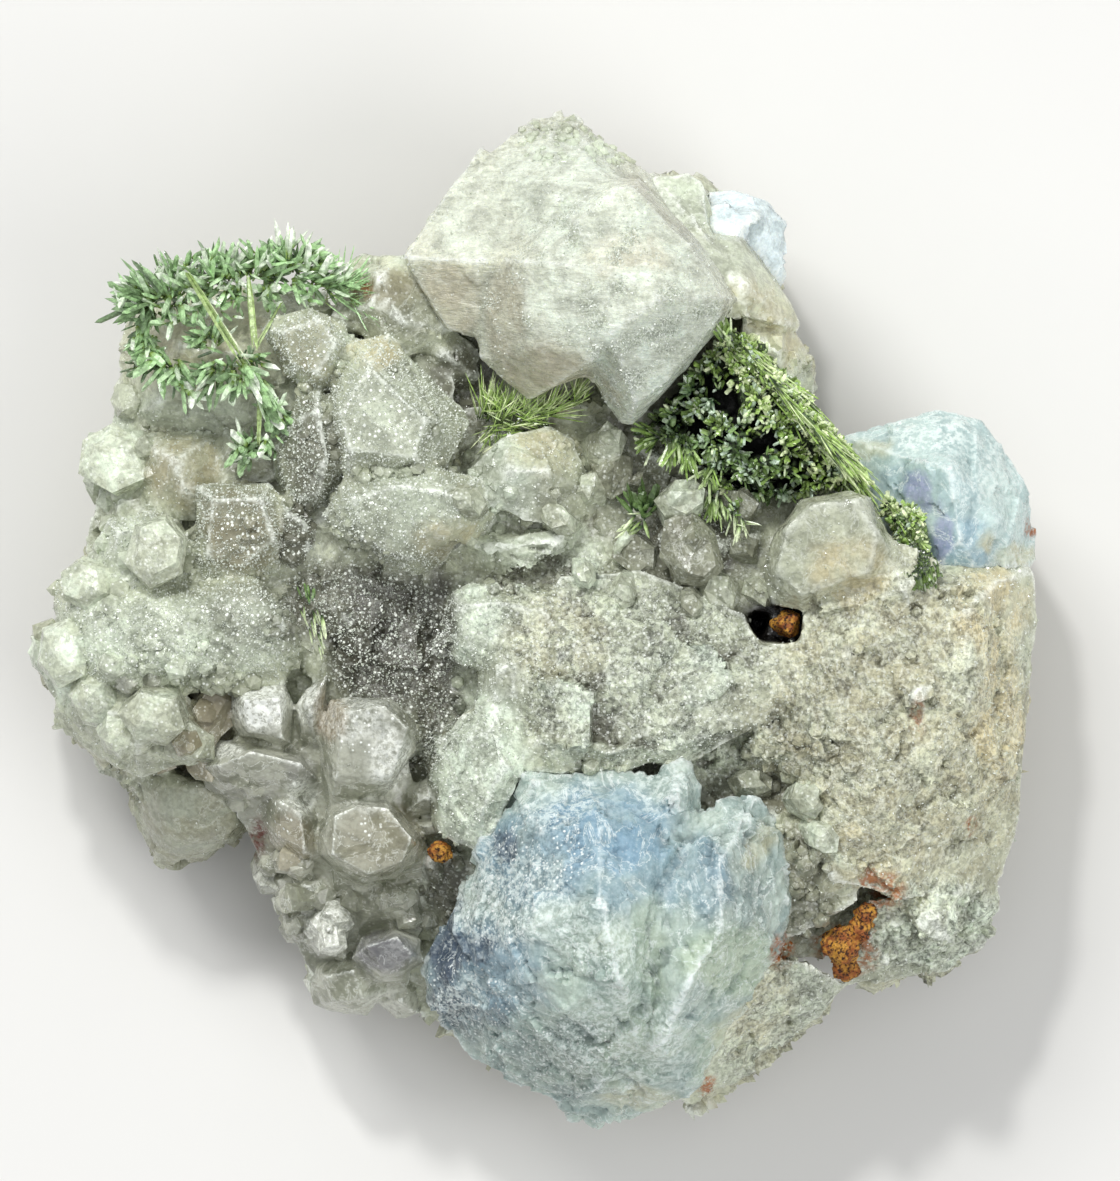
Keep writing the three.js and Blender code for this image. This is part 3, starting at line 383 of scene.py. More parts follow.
class Nodes:
    """Short calls for building a material's nodes."""

    def __init__(self, name):
        self.material = bpy.data.materials.new(name)
        self.material.use_nodes = True
        self.tree = self.material.node_tree
        self.tree.nodes.clear()
        self.output = self.tree.nodes.new("ShaderNodeOutputMaterial")
        self.where = self.tree.nodes.new("ShaderNodeTexCoord").outputs["Object"]

    def put(self, kind, _values=None, **settings):
        node = self.tree.nodes.new(kind)
        for key, value in settings.items():
            setattr(node, key, value)
        for key, value in (_values or {}).items():
            self.feed(node.inputs[key], value)
        return node

    def feed(self, socket, value):
        if isinstance(value, bpy.types.NodeSocket):
            self.tree.links.new(value, socket)
        else:
            socket.default_value = tint(value) if isinstance(value, str) else value

    def mask(self, name):
        return self.put("ShaderNodeAttribute", attribute_name=name).outputs["Fac"]

    def noise(self, per_mm, detail=4.0, roughness=0.55, distortion=0.0, stretch=None):
        where = self.where
        if stretch:
            turn, scale = stretch
            mapping = self.put("ShaderNodeMapping", {"Vector": where, "Rotation": turn, "Scale": scale})
            where = mapping.outputs["Vector"]
        values = {"Vector": where, "Scale": per_mm / MM, "Detail": detail, "Roughness": roughness}
        values["Distortion"] = distortion
        return self.put("ShaderNodeTexNoise", values).outputs["Fac"]

    def cells(self, per_mm, feature="F1"):
        return self.put("ShaderNodeTexVoronoi", {"Vector": self.where, "Scale": per_mm / MM}, feature=feature)

    def ramp(self, value, low, high, to_low=0.0, to_high=1.0):
        values = {"Value": value, "From Min": low, "From Max": high, "To Min": to_low, "To Max": to_high}
        return self.put("ShaderNodeMapRange", values, interpolation_type="SMOOTHSTEP").outputs["Result"]

    def maths(self, kind, a, b=0.0):
        return self.put("ShaderNodeMath", {0: a, 1: b}, operation=kind).outputs["Value"]

    def times(self, a, b):
        return self.maths("MULTIPLY", a, b)

    def most(self, first, *others):
        for other in others:
            first = self.maths("MAXIMUM", first, other)
        return first

    def span(self, value, to_low, to_high):
        """From to_low to to_high, as value goes from 0 to 1."""
        return self.ramp(value, 0.0, 1.0, to_low, to_high)

    def patchy(self, name, by, *limits):
        """A mask that another value breaks up."""
        return self.times(self.mask(name), self.ramp(by, *limits))

    def vein(self, noise, thin, wide, strength):
        """Fine lines where the noise passes through its middle."""
        away = self.maths("ABSOLUTE", self.maths("SUBTRACT", noise, 0.5))
        return self.ramp(away, thin, wide, strength, 0.0)

    def specks(self, cells, far, close, few, many):
        """Dots in some of the cells."""
        dots = self.ramp(cells.outputs["Distance"], far, close)
        return self.times(self.ramp(self.key(cells), few, many), dots)

    def mix(self, share, a, b):
        node = self.put("ShaderNodeMix", data_type="RGBA")
        self.feed(node.inputs[0], share)
        self.feed(node.inputs[6], a)
        self.feed(node.inputs[7], b)
        return node.outputs[2]

    def paint(self, colour, *coats):
        """Lays coats over a colour, each a share and a colour."""
        for share, coat in coats:
            colour = self.mix(share, colour, coat)
        return colour

    def scaled(self, colour, by):
        return self.vector("SCALE", colour, scale=by)

    def bump(self, height, strength, distance, before=None):
        values = {"Height": height, "Strength": strength, "Distance": distance * MM}
        if before is not None:
            values["Normal"] = before
        return self.put("ShaderNodeBump", values).outputs["Normal"]

    def vector(self, kind, a, b=None, scale=None):
        values = {0: a}
        if b is not None:
            values[1] = b
        if scale is not None:
            values["Scale"] = scale
        return self.put("ShaderNodeVectorMath", values, operation=kind).outputs["Vector"]

    def tilt(self, cells, amount, normal):
        """Leans the surface of each cell its own way, as small crystal faces do."""
        away = self.vector("SUBTRACT", cells.outputs["Color"], (0.5, 0.5, 0.5))
        leaning = self.vector("ADD", normal, self.vector("SCALE", away, scale=amount))
        return self.vector("NORMALIZE", leaning)

    def key(self, cells, channel=0):
        return self.put("ShaderNodeSeparateColor", {"Color": cells.outputs["Color"]}).outputs[channel]

    def shader(self, **values):
        node = self.put("ShaderNodeBsdfPrincipled", {key.replace("_", " "): v for key, v in values.items()})
        self.tree.links.new(node.outputs["BSDF"], self.output.inputs["Surface"])


def tint(code):
    """A colour written as #rrggbb in the usual screen scale, made linear."""
    levels = [int(code[i : i + 2], 16) for i in (1, 3, 5)]
    return (*(((c / 255 + 0.055) / 1.055) ** 2.4 if c > 10 else c / 3294 for c in levels), 1.0)


QUARTZ_IOR = 1.544
FLUORITE_IOR = 1.434
OLIVENITE_IOR = 1.75
# How much the clear quartz takes away from light, per metre
CLEAR_DENSITY = 12.0


def quartz_material(name, base, milk, smoke, warm, brushed=0.0, sparkle=1.0, subsurface=0.0):
    """Frosted quartz: grey and glassy, with white grains and small bright faces where it is frosted.
    The mask grit marks sugary places, and frost the places with separate white grains."""
    m = Nodes(name)
    broad = m.noise(0.8, 5.0, 0.64, 0.5)
    fine = m.noise(5.0, 3.0, 0.7)
    cells, plates = m.cells(5.4), m.cells(1.5)
    border = m.cells(1.5, "DISTANCE_TO_EDGE").outputs["Distance"]
    grit = m.mask("grit")
    pale = "#f4f8ee"
    colour = m.paint(
        base,
        (m.ramp(broad, 0.4, 0.66), (*(c * 0.62 for c in tint(base)[:3]), 1.0)),
        (m.patchy("milk", broad, 0.36, 0.56, 1.0, 0.45), milk),
        (m.patchy("warm", broad, 0.3, 0.65, 0.3, 1.0), warm),
        (m.mask("smoke"), smoke),
    )
    sugary = m.span(grit, 0.3, 1.0)
    shade = m.times(m.ramp(fine, 0.36, 0.62, -0.46, 0.16), sugary)
    face = m.times(m.span(m.key(plates, 1), -0.22, 0.14), sugary)
    colour = m.scaled(colour, m.maths("ADD", m.maths("ADD", shade, face), 1.0))
    # Painted highlight along convex edges
    rim_highlight = m.patchy("edge", fine, 0.35, 0.6, 0.2, 0.75)
    line = m.times(m.ramp(border, 0.02, 0.07, 0.35, 0.0), m.times(grit, m.ramp(fine, 0.42, 0.6)))
    speck = m.times(m.specks(cells, 0.36, 0.22, 0.42, 0.56), m.times(m.mask("frost"), sparkle))
    colour = m.paint(
        colour,
        (m.most(m.vein(broad, 0.004, 0.014, 0.25), rim_highlight, line), pale),
        # Painted shade in creases
        (m.patchy("crease_shade", fine, 0.35, 0.65, 0.6, 0.25), "#565342"),
        (m.patchy("rust", m.noise(2.6, 5.0, 0.7), 0.4, 0.56), "#9e5c22"),
        # Painted shade, near black, in the pit, the pits of the relief and the valley
        (m.mask("hollow"), "#0c0a07"),
        (speck, pale),
    )
    normal = m.bump(fine, m.span(grit, 0.22, 0.8), 0.12)
    if brushed:
        streaks = m.noise(1.5, 4.0, 0.7, 0.4, ((0.0, 0.0, math.radians(36)), (1.0, 3.6, 1.0)))
        colour = m.scaled(colour, m.ramp(streaks, 0.38, 0.62, 1.0 - 0.16 * brushed, 1.02))
        normal = m.bump(streaks, brushed, 0.25, normal)
    normal = m.tilt(plates, m.span(grit, 0.10, 0.45), normal)
    normal = m.tilt(cells, m.maths("ADD", m.most(m.times(grit, 0.6), speck), 0.08), normal)
    m.shader(
        Base_Color=colour,
        Roughness=m.span(m.key(cells, 2), 0.10, 0.38),
        IOR=QUARTZ_IOR,
        Subsurface_Weight=subsurface,
        Subsurface_Radius=(1.0, 0.95, 0.8),
        Subsurface_Scale=1.2 * MM,
        Normal=normal,
    )
    return m.material


def fluorite_material(name, light, dark):
    """Pale blue fluorite, cloudy and smooth, with white veils, and sugary where the mask grit says so."""
    m = Nodes(name)
    cloud = m.noise(0.55, 6.0, 0.62, 0.8)
    fine = m.noise(4.5, 5.0, 0.7)
    cells, plates = m.cells(8.0), m.cells(1.7)
    grit = m.mask("grit")
    colour = m.paint(
        light,
        (m.ramp(cloud, 0.35, 0.65), dark),
        (m.patchy("blue", cloud, 0.3, 0.6, 0.6, 1.0), "#84a3b5"),
        (m.times(m.mask("green"), 0.8), "#b6c6a8"),
        (m.mask("navy"), "#4e5c6c"),
        (m.patchy("violet", fine, 0.3, 0.6, 0.35, 0.8), "#9496bc"),
        (m.patchy("warm", cloud, 0.3, 0.6, 0.4, 1.0), "#cec8a0"),
    )
    shade = m.times(m.ramp(fine, 0.34, 0.64, -0.32, 0.08), m.span(grit, 0.35, 1.0))
    colour = m.scaled(colour, m.maths("ADD", shade, 1.0))
    # Painted highlight along convex edges
    rim_highlight = m.patchy("edge", fine, 0.35, 0.6, 0.2, 0.8)
    speck = m.times(m.specks(cells, 0.48, 0.28, 0.66, 0.78), m.span(grit, 0.12, 0.9))
    colour = m.paint(
        colour,
        (m.times(m.span(m.mask("milk"), 0.06, 0.8), m.ramp(fine, 0.45, 0.58)), "#e2ece6"),
        (m.most(m.vein(cloud, 0.003, 0.012, 0.6), rim_highlight), "#e8f0ec"),
        # Painted shade in creases
        (m.times(m.mask("crease_shade"), 0.4), "#546468"),
        (speck, "#eef4f0"),
        (m.patchy("rust", fine, 0.35, 0.6), "#965422"),
    )
    normal = m.bump(fine, m.span(grit, 0.3, 0.8), 0.12)
    normal = m.tilt(plates, 0.22, normal)
    m.shader(
        Base_Color=colour,
        Roughness=m.span(m.key(cells, 2), 0.14, 0.4),
        IOR=FLUORITE_IOR,
        Subsurface_Weight=0.35,
        Subsurface_Radius=(0.8, 0.95, 1.0),
        Subsurface_Scale=1.0 * MM,
        Normal=m.tilt(cells, m.span(grit, 0.08, 0.6), normal),
    )
    return m.material


def clear_material():
    """Glassy quartz: see-through faces, a painted highlight along the rims, white veils, and bright small
    steps.
    """
    m = Nodes("clear_quartz")
    cloud = m.noise(0.9, 5.0, 0.62, 0.6)
    fine = m.noise(5.0, 4.0, 0.7)
    cells, plates = m.cells(7.0), m.cells(1.8)
    colour = m.paint(
        "#f6f8e4",
        (m.ramp(cloud, 0.38, 0.62), "#b2b59e"),
        (m.mask("warm"), "#c4a876"),
        (m.mask("smoke"), "#92909c"),
    )
    colour = m.scaled(colour, m.ramp(fine, 0.34, 0.6, 0.8, 1.0))
    # Painted highlight along convex edges
    rim_highlight = m.patchy("edge", fine, 0.33, 0.55, 0.2, 0.75)
    milky = m.patchy("milk", fine, 0.35, 0.58, 0.3, 1.0)
    speck = m.times(m.specks(cells, 0.46, 0.28, 0.72, 0.84), m.span(m.mask("frost"), 0.25, 1.0))
    white = m.most(m.vein(cloud, 0.003, 0.012, 0.5), rim_highlight, milky, speck)
    rusty = m.patchy("rust", fine, 0.35, 0.6)
    normal = m.tilt(plates, 0.2, m.bump(fine, 0.15, 0.10))
    m.shader(
        Base_Color=m.paint(colour, (rusty, "#82321a"), (white, "#f6f9f2")),
        Roughness=m.span(white, 0.05, 0.4),
        IOR=QUARTZ_IOR,
        Transmission_Weight=m.span(white, 0.55, 0.05),
        Normal=m.tilt(cells, m.span(white, 0.05, 0.8), normal),
    )
    volume = m.put("ShaderNodeVolumeAbsorption", {"Color": "#f0f3db", "Density": CLEAR_DENSITY})
    m.tree.links.new(volume.outputs["Volume"], m.output.inputs["Volume"])
    return m.material


def olivenite_material(name, low, mid, high):
    """Green needles: dark at the foot, paler to the tip, each in its own tone. cool makes them bluish."""
    m = Nodes(name)
    tone, along = m.mask("tone"), m.mask("along")
    streak = m.noise(5.0, 3.0, 0.6)
    # Paler tips, and on the palest needles painted glints
    pale_tip_and_glint = m.times(m.ramp(along, 0.05, 0.6), m.ramp(tone, 0.45, 0.95))
    colour = m.paint(
        low,
        (m.ramp(along, 0.0, 0.4), mid),
        (m.times(m.mask("cool"), 0.6), "#466c4e"),
        (pale_tip_and_glint, m.mix(m.mask("cool"), high, "#c8dcc4")),
    )
    # Darker for low tones: partly the needles' own tone, partly painted shade on the dark needles set under
    # the others
    light = m.times(m.ramp(streak, 0.35, 0.65, 0.62, 1.15), m.ramp(tone, 0.0, 0.35, 0.38, 1.0))
    m.shader(
        Base_Color=m.scaled(colour, light),
        Roughness=m.ramp(streak, 0.35, 0.65, 0.14, 0.32),
        IOR=OLIVENITE_IOR,
        Normal=m.bump(m.noise(9.0, 2.0, 0.5), 0.4, 0.03),
    )
    return m.material


def dark_green_material():
    """The body between the green needles: dark green, painted near black as painted shade, and blacker still
    in the holes.
    """
    m = Nodes("olivenite_body")
    fine = m.noise(6.0, 4.0, 0.7)
    colour = m.paint("#0c1208", (m.ramp(fine, 0.42, 0.62), "#3e5426"), (m.mask("hole"), "#060905"))
    m.shader(Base_Color=colour, Roughness=m.ramp(fine, 0.4, 0.6, 0.95, 0.5), Normal=m.bump(fine, 0.8, 0.1))
    return m.material


def limonite_material():
    """Rust: yellow-brown with dark grains and hollows."""
    m = Nodes("limonite")
    broad = m.noise(2.2, 5.0, 0.65)
    fine = m.noise(9.0, 4.0, 0.6)
    m.shader(
        Base_Color=m.paint(
            "#c48e32",
            (m.ramp(broad, 0.4, 0.6), "#8a4a18"),
            (m.ramp(fine, 0.48, 0.6), "#32180d"),
            (m.mask("dark"), "#28120a"),
        ),
        Roughness=m.ramp(fine, 0.35, 0.65, 0.55, 0.9),
        Normal=m.bump(fine, 0.8, 0.08, m.bump(m.noise(20.0, 2.0, 0.6), 0.5, 0.03)),
    )
    return m.material


def frost_material():
    """White grains, some of them greyer."""
    m = Nodes("frost")
    tone = m.mask("tone")
    colour = m.paint(
        "#b4bbaa",
        (m.ramp(tone, 0.0, 1.0), "#f4f8f0"),
        (m.ramp(m.noise(6.0, 3.0, 0.6), 0.4, 0.65, 0.0, 0.3), "#b0b6a6"),
    )
    m.shader(Base_Color=colour, Roughness=m.span(tone, 0.35, 0.15), IOR=QUARTZ_IOR)
    return m.material


FROST = frost_material()
QUARTZ = quartz_material("quartz", "#bec3a9", "#ddead5", "#58574a", "#dacea2")
TOP = quartz_material(
    "frosted_quartz", "#e2e4ce", "#eaf5e5", "#aca892", "#e2dabf", brushed=0.8, subsurface=0.5
)
WHITE = quartz_material(
    "white_quartz", "#e2f3f4", "#f0fdfd", "#96a09c", "#dedec8", sparkle=0.5, subsurface=0.4
)
FLUORITE = fluorite_material("fluorite", "#beccc0", "#9aaca6")
PALE_FLUORITE = fluorite_material("pale_fluorite", "#cee0d8", "#b4c8c2")
CLEAR = clear_material()
DARK_GREEN = dark_green_material()
SPRAY_GREEN = olivenite_material("olivenite_spray", "#748e36", "#aed398", "#f3fbe8")
MASS_GREEN = olivenite_material("olivenite_mass", "#283a16", "#a8ca68", "#f0fac8")
STALK_GREEN = olivenite_material("olivenite_stalks", "#849e54", "#b2ca84", "#ecf6d0")
LIMONITE = limonite_material()


# Crystals


def side_druse(p, n):
    """Small crystals over the sides, which the view from above doesn't show."""
    side = soft(1 - np.abs(n[:, 2]), 0.35, 0.8) * soft(7.5 - p[:, 2], 0, 2.5)
    return side * (facets(p, 1.3, 41, 0.55, 0.25) + facets(p, 0.6, 42, 0.4, 0.08))


def sugar(p, seed, size=0.5):
    """Fused grains of sugary quartz."""
    first, second, _, key = grains(p, size, seed)
    return (second - first) * 0.55 + (key[:, 0] - 0.5) * size * 0.25 - size * 0.15


# Zones of the quartz and the left cluster, as spots takes them
PLATEAU = [(640, 675, 165, 110, 1), (560, 600, 90, 60, 0.8), (720, 730, 90, 60, 0.8)]
LOBE = [(478, 765, 50, 100, 0.5), (470, 630, 40, 60, 0.5)]
VALLEY = [(390, 640, 70, 95, 1), (330, 600, 60, 50, 0.9), (425, 720, 30, 60, 1)]
RIGHT_BODY = [(900, 720, 160, 200, 0.8)]
SMALL = [(690, 540, 90, 60, 1), (640, 470, 70, 50, 1), (560, 470, 80, 50, 0.4)]
LOW_RIGHT = [(925, 925, 100, 60, 1), (770, 1020, 90, 80, 0.8)]
GREY_DRUSE = [(800, 880, 40, 80, 1)]
PLATE = [(150, 615, 120, 60, 0.9)]
WORN = [(190, 830, 66, 56, 0.8), (62, 672, 40, 50, 0.4), (800, 760, 60, 34, 0.5)]
# Smooth faces with little relief
CALM = [
    (185, 825, 60, 52, 1), (830, 548, 76, 66, 0.65), (200, 345, 100, 70, 0.8), (760, 300, 60, 100, 0.85),
    (690, 550, 76, 44, 0.8), (120, 450, 34, 60, 0.8), (180, 475, 50, 48, 0.9), (500, 480, 34, 50, 0.7),
    (730, 700, 50, 40, 0.6), (385, 300, 50, 40, 0.5), (58, 670, 36, 46, 0.8), (505, 688, 26, 34, 0.8),
]


def matrix_relief(p, n):
    """Relief of the quartz body: sugary, dark and blocky zones, each in its own grain."""
    up = soft(n[:, 2], 0.0, 0.5)
    wander = stray(p, 1.5, 3, 3, 0.35)
    plateau = spots(wander, PLATEAU + LOBE)
    valley = spots(wander, VALLEY)
    body = spots(wander, RIGHT_BODY + LOW_RIGHT)
    grey = spots(wander, GREY_DRUSE)
    lift = rough(p, 2.2, 51, 4) * 0.12
    lift += plateau * (sugar(wander, 52, 0.8) * 0.3 + sugar(p, 53, 0.36) * 0.6 + rough(p, 0.9, 54, 4) * 0.16)
    lift += plateau * (rough(p, 3.2, 66, 3) * 0.3 + facets(wander, 2.4, 67, 0.16, 0.16))
    frosted = sugar(p, 55, 0.4) * 0.5 + rough(p, 1.0, 56, 4) * 0.12
    lift += valley * (frosted + facets(wander, 1.4, 68, 0.3, 0.2))
    blocks = facets(wander, 2.0, 57, 0.20, 0.10) + facets(p, 0.6, 58, 0.22, 0.05)
    lift += body * (blocks + sugar(p, 59, 0.34) * 0.25)
    lift += body * rough(p, 0.9, 64, 4) * 0.09
    lift += grey * (facets(p, 0.7, 60, 0.5, 0.2) + sugar(p, 61, 0.35) * 0.3)
    rest = np.clip(1 - plateau - valley - body - grey, 0, 1)
    plain = facets(wander, 1.3, 65, 0.16, 0.07) + rough(p, 0.7, 62, 4) * 0.07
    lift += rest * (plain + sugar(p, 63, 0.33) * 0.2)
    return (lift * (0.35 + 0.65 * up) + side_druse(p, n)) * (1 - 0.8 * spots(p, CALM))


def matrix_masks(p, n, lift):
    wander = stray(p, 1.3, 13, 4, 0.6)
    up = soft(n[:, 2], -0.2, 0.4)
    milk = spots(wander, [
        (640, 670, 170, 110, 0.25), (478, 770, 56, 104, 1), (470, 625, 40, 50, 0.9), (500, 480, 40, 60, 0.8),
        (540, 550, 70, 26, 0.7), (588, 572, 20, 18, 1), (62, 665, 40, 45, 0.9), (115, 450, 24, 60, 0.8),
        (640, 300, 30, 30, 0.3), (950, 915, 60, 40, 0.9), (830, 835, 26, 40, 0.6), (690, 200, 40, 40, 0.5),
        (740, 270, 60, 60, 0.3), (785, 375, 22, 22, 0.6), (700, 750, 60, 30, 0.5), (190, 820, 60, 50, 0.5),
        (380, 262, 40, 16, 0.5), (925, 925, 100, 55, 0.8), (770, 1020, 90, 80, 0.6), (190, 405, 60, 30, 0.5),
        (990, 660, 50, 80, 0.4), (900, 720, 160, 200, 0.15),
    ])
    # Smoky grey quartz, and painted shadow at the back left, near x 185 to 190 and y 825 to 830
    smoke = (1 - spots(wander, [(484, 775, 48, 95, 1)])) * spots(wander, [
        (390, 645, 75, 90, 0.95), (330, 600, 60, 45, 0.8), (440, 715, 28, 60, 0.9), (415, 800, 24, 60, 0.7),
        (690, 545, 70, 38, 0.55), (655, 470, 45, 34, 0.6), (745, 510, 40, 26, 0.6), (735, 590, 30, 26, 0.4),
        (745, 795, 60, 28, 0.75), (800, 880, 34, 80, 0.6), (470, 385, 45, 55, 0.8), (395, 310, 50, 40, 0.5),
        (260, 460, 40, 40, 0.55), (178, 475, 46, 44, 0.35), (455, 890, 36, 60, 0.9), (200, 720, 46, 22, 0.6),
        (905, 650, 44, 60, 0.25), (610, 520, 30, 30, 0.5), (620, 430, 30, 24, 0.7), (505, 690, 30, 24, 0.45),
        (700, 700, 46, 34, 0.25), (560, 655, 16, 14, 0.5), (597, 683, 12, 14, 0.8), (440, 640, 18, 100, 0.9),
        (780, 755, 60, 20, 0.4), (480, 470, 40, 40, 0.35), (540, 500, 60, 40, 0.3), (190, 830, 64, 56, 0.4),
        (690, 545, 76, 44, 0.95), (240, 700, 60, 26, 0.5), (830, 550, 80, 70, 0.2), (185, 825, 60, 52, 0.5),
        (840, 720, 60, 90, 0.25), (640, 680, 160, 100, 0.12),
    ])
    warm = spots(wander, [
        (990, 610, 44, 60, 0.9), (1000, 720, 34, 90, 0.9), (985, 800, 40, 60, 0.5), (850, 570, 46, 40, 0.8),
        (180, 475, 44, 44, 0.6), (200, 340, 90, 60, 0.35), (380, 280, 50, 30, 0.4), (880, 850, 60, 40, 0.6),
        (560, 640, 50, 50, 0.3), (545, 450, 40, 30, 0.4), (840, 760, 60, 60, 0.3), (760, 330, 60, 60, 0.5),
        (740, 1010, 60, 60, 0.4), (900, 740, 170, 200, 0.4), (185, 825, 60, 52, 0.3), (215, 700, 50, 40, 0.6),
    ])
    rust = spots(wander, [
        (972, 822, 9, 10, 1), (708, 1088, 10, 14, 1), (257, 838, 10, 22, 1), (884, 888, 26, 22, 0.9),
        (782, 952, 14, 18, 1), (845, 950, 34, 30, 0.9), (440, 856, 12, 12, 0.8), (362, 286, 12, 12, 0.7),
        (918, 715, 8, 24, 0.6), (545, 408, 22, 10, 0.7),
    ])
    # The pit, painted near black as painted shade
    pit = spots(p, [(775, 626, 44, 32, 1)]) * soft(11.9 - p[:, 2], 0, 0.4)
    calm = spots(p, CALM)
    crust = spots(wander, PLATEAU + LOBE) * soft(lift, 0.0, 0.22)
    frost = 0.3 + 0.7 * spots(wander, VALLEY) + 0.5 * spots(wander, LOBE)
    frost = np.clip(frost + 0.25 * spots(wander, PLATEAU + SMALL), 0, 1) * up
    dusted = 0.6 * up * spots(wander, [(690, 545, 80, 44, 1)])
    frost = np.maximum(frost, dusted) * (1 - 0.8 * spots(p, CALM[:4]))
    frost *= 1 - pit
    grit = np.clip(spots(wander, PLATEAU + LOBE + RIGHT_BODY + LOW_RIGHT) + 0.6 * spots(wander, VALLEY), 0, 1)
    grit *= 1 - 0.7 * calm
    # deep marks the pits of the relief, which are painted darker as painted shade, as is part of the valley
    deep = soft(-lift, 0.02, 0.25)
    return {
        "blunt": 0.5 * spots(p, [(830, 550, 86, 78, 1)]),
        "grit": np.maximum(grit, 0.2),
        "milk": np.maximum(milk, crust * 0.9) * up,
        # Smoky grey, darkened further in the pits of the relief as painted shade
        "smoke": np.maximum(smoke, deep * (0.15 + 0.55 * spots(wander, PLATEAU))),
        "warm": np.maximum(warm, 0.25 * (1 - up)),
        "rust": rust * up,
        "hollow": np.clip(np.maximum(pit, deep * 0.13 + 0.3 * spots(wander, VALLEY[:1])), 0, 1),
        "frost": frost,
    }


QUARTZ_MARKS = ("milk", "smoke", "warm", "rust", "hollow", "frost", "grit")


def quartz_masks(p, **given):
    """All the masks of quartz, with nothing in those that aren't given."""
    zero = np.zeros(len(p))
    return {key: given.get(key, zero) for key in QUARTZ_MARKS}


def top_patches(p):
    return soft(rough(p, 0.9, 26, 4), -0.05, 0.35)


def top_relief(p, n):
    """Brush-like growth lines, with sugary patches and a rough upper edge."""
    brushed = p @ np.array([[0.8, -0.6, 0], [0.6, 0.8, 0], [0, 0, 1]])
    brushed = brushed * np.array([0.45, 1.5, 1.0])
    lift = rough(p, 2.6, 71, 4) * 0.08 + rough(brushed, 0.8, 72, 4) * 0.05
    edge = soft(p[:, 1], at(0, 138)[1], at(0, 120)[1])
    lift += edge * (facets(p, 0.6, 73, 0.4, 0.15) - 0.05)
    grainy = spots(p, [
        (640, 340, 90, 90, 1), (560, 240, 70, 60, 0.6), (700, 340, 50, 60, 0.8),
    ]) * top_patches(p)
    lift += grainy * sugar(p, 74, 0.34) * 0.4 + facets(p, 1.4, 75, 0.05, 0.03)
    return lift + side_druse(p, n) * 0.4


def top_masks(p, n, lift):
    wander = stray(p, 1.6, 23, 4, 0.7)
    milk = spots(wander, [
        (560, 190, 70, 70, 0.8), (620, 280, 110, 110, 0.75), (680, 360, 70, 80, 1), (470, 210, 50, 60, 0.5),
        (630, 370, 60, 60, 0.9), (505, 325, 26, 60, 0.7),
    ])
    smooth = spots(p, [(545, 376, 52, 34, 1), (448, 300, 36, 44, 0.9), (505, 320, 22, 56, 0.7)])
    warm = np.maximum(smooth * 0.7, spots(wander, [(625, 255, 50, 24, 0.5), (600, 395, 24, 24, 0.5)]))
    smoke = np.maximum(smooth * 0.25, 0.3 * spots(p, [(505, 320, 24, 60, 1)]))
    # A painted shadow line along the step where the front crystal stands above the back one
    smoke = np.maximum(smoke, 0.5 * near_line(p, [(634, 181), (668, 214), (698, 243)], 0.45))
    centre = spots(wander, [
        (640, 340, 80, 80, 1), (560, 240, 60, 50, 0.6), (505, 325, 26, 60, 1), (600, 250, 60, 40, 0.7),
        (695, 350, 50, 60, 0.9),
    ])
    grit = centre * top_patches(p)
    frost = np.clip(grit + 0.15, 0, 1) * soft(n[:, 2], 0.0, 0.4) * (1 - smooth * 0.8)
    grit *= 0.55 * (1 - smooth)
    return quartz_masks(p, milk=milk * (1 - smooth), warm=warm, smoke=smoke, frost=frost, grit=grit)


def left_relief(p, n):
    lift = rough(p, 1.8, 81, 4) * 0.05
    up = soft(n[:, 2], 0.0, 0.5)
    smooth = spots(p, [(455, 535, 34, 26, 1), (110, 560, 26, 30, 0.5)])
    lift += up * (1 - smooth) * (sugar(p, 82, 0.34) * 0.16 + rough(p, 0.6, 83, 3) * 0.03)
    wander = stray(p, 1.5, 85, 3, 0.3)
    lift += facets(wander, 1.5, 88, 0.07, 0.03)
    plate = spots(p, [(170, 650, 130, 60, 1)])
    lift += plate * (facets(wander, 1.3, 84, 0.14, 0.08) + sugar(p, 89, 0.4) * 0.15)
    return lift + side_druse(p, n) * 0.7


def left_masks(p, n, lift):
    wander = stray(p, 1.2, 33, 4, 0.5)
    milk = spots(wander, [
        (400, 410, 66, 60, 0.4), (410, 510, 80, 46, 0.45), (150, 640, 120, 50, 0.6), (240, 640, 60, 40, 0.45),
        (130, 550, 60, 40, 0.5), (350, 350, 30, 20, 0.7), (200, 610, 120, 18, 0.5),
    ])
    smoke = spots(wander, [
        (310, 450, 34, 66, 0.75), (237, 530, 50, 54, 0.65), (300, 540, 28, 44, 0.85),
        (310, 345, 40, 30, 0.35), (290, 610, 26, 40, 0.65), (450, 560, 40, 22, 0.6), (250, 615, 50, 40, 0.45),
        (400, 545, 70, 24, 0.4), (440, 440, 30, 40, 0.35), (400, 420, 80, 80, 0.22), (400, 510, 90, 50, 0.2),
    ])
    warm = spots(wander, [
        (375, 352, 28, 22, 0.7), (240, 530, 46, 50, 0.5), (450, 540, 40, 26, 0.6), (310, 350, 40, 40, 0.3),
    ])
    frost = soft(n[:, 2], -0.1, 0.4) * (1 - spots(p, [(455, 540, 36, 24, 0.8), (110, 565, 26, 30, 0.4)]))
    grit = 0.35 * spots(wander, [(170, 640, 130, 60, 1), (390, 410, 60, 60, 0.8), (400, 510, 70, 40, 0.8)])
    masks = quartz_masks(p, milk=milk, smoke=smoke, warm=warm, frost=frost, grit=grit)
    return {**masks, "blunt": spots(p, PLATE)}


def clear_relief(p, n):
    steps = np.sin((p @ np.array([0.3, 0.5, 0.8])) * 14 + rough(p, 1.5, 92, 3) * 3)
    return rough(p, 1.6, 91, 3) * 0.025 + facets(p, 0.9, 93, 0.04, 0.02) + steps * 0.006


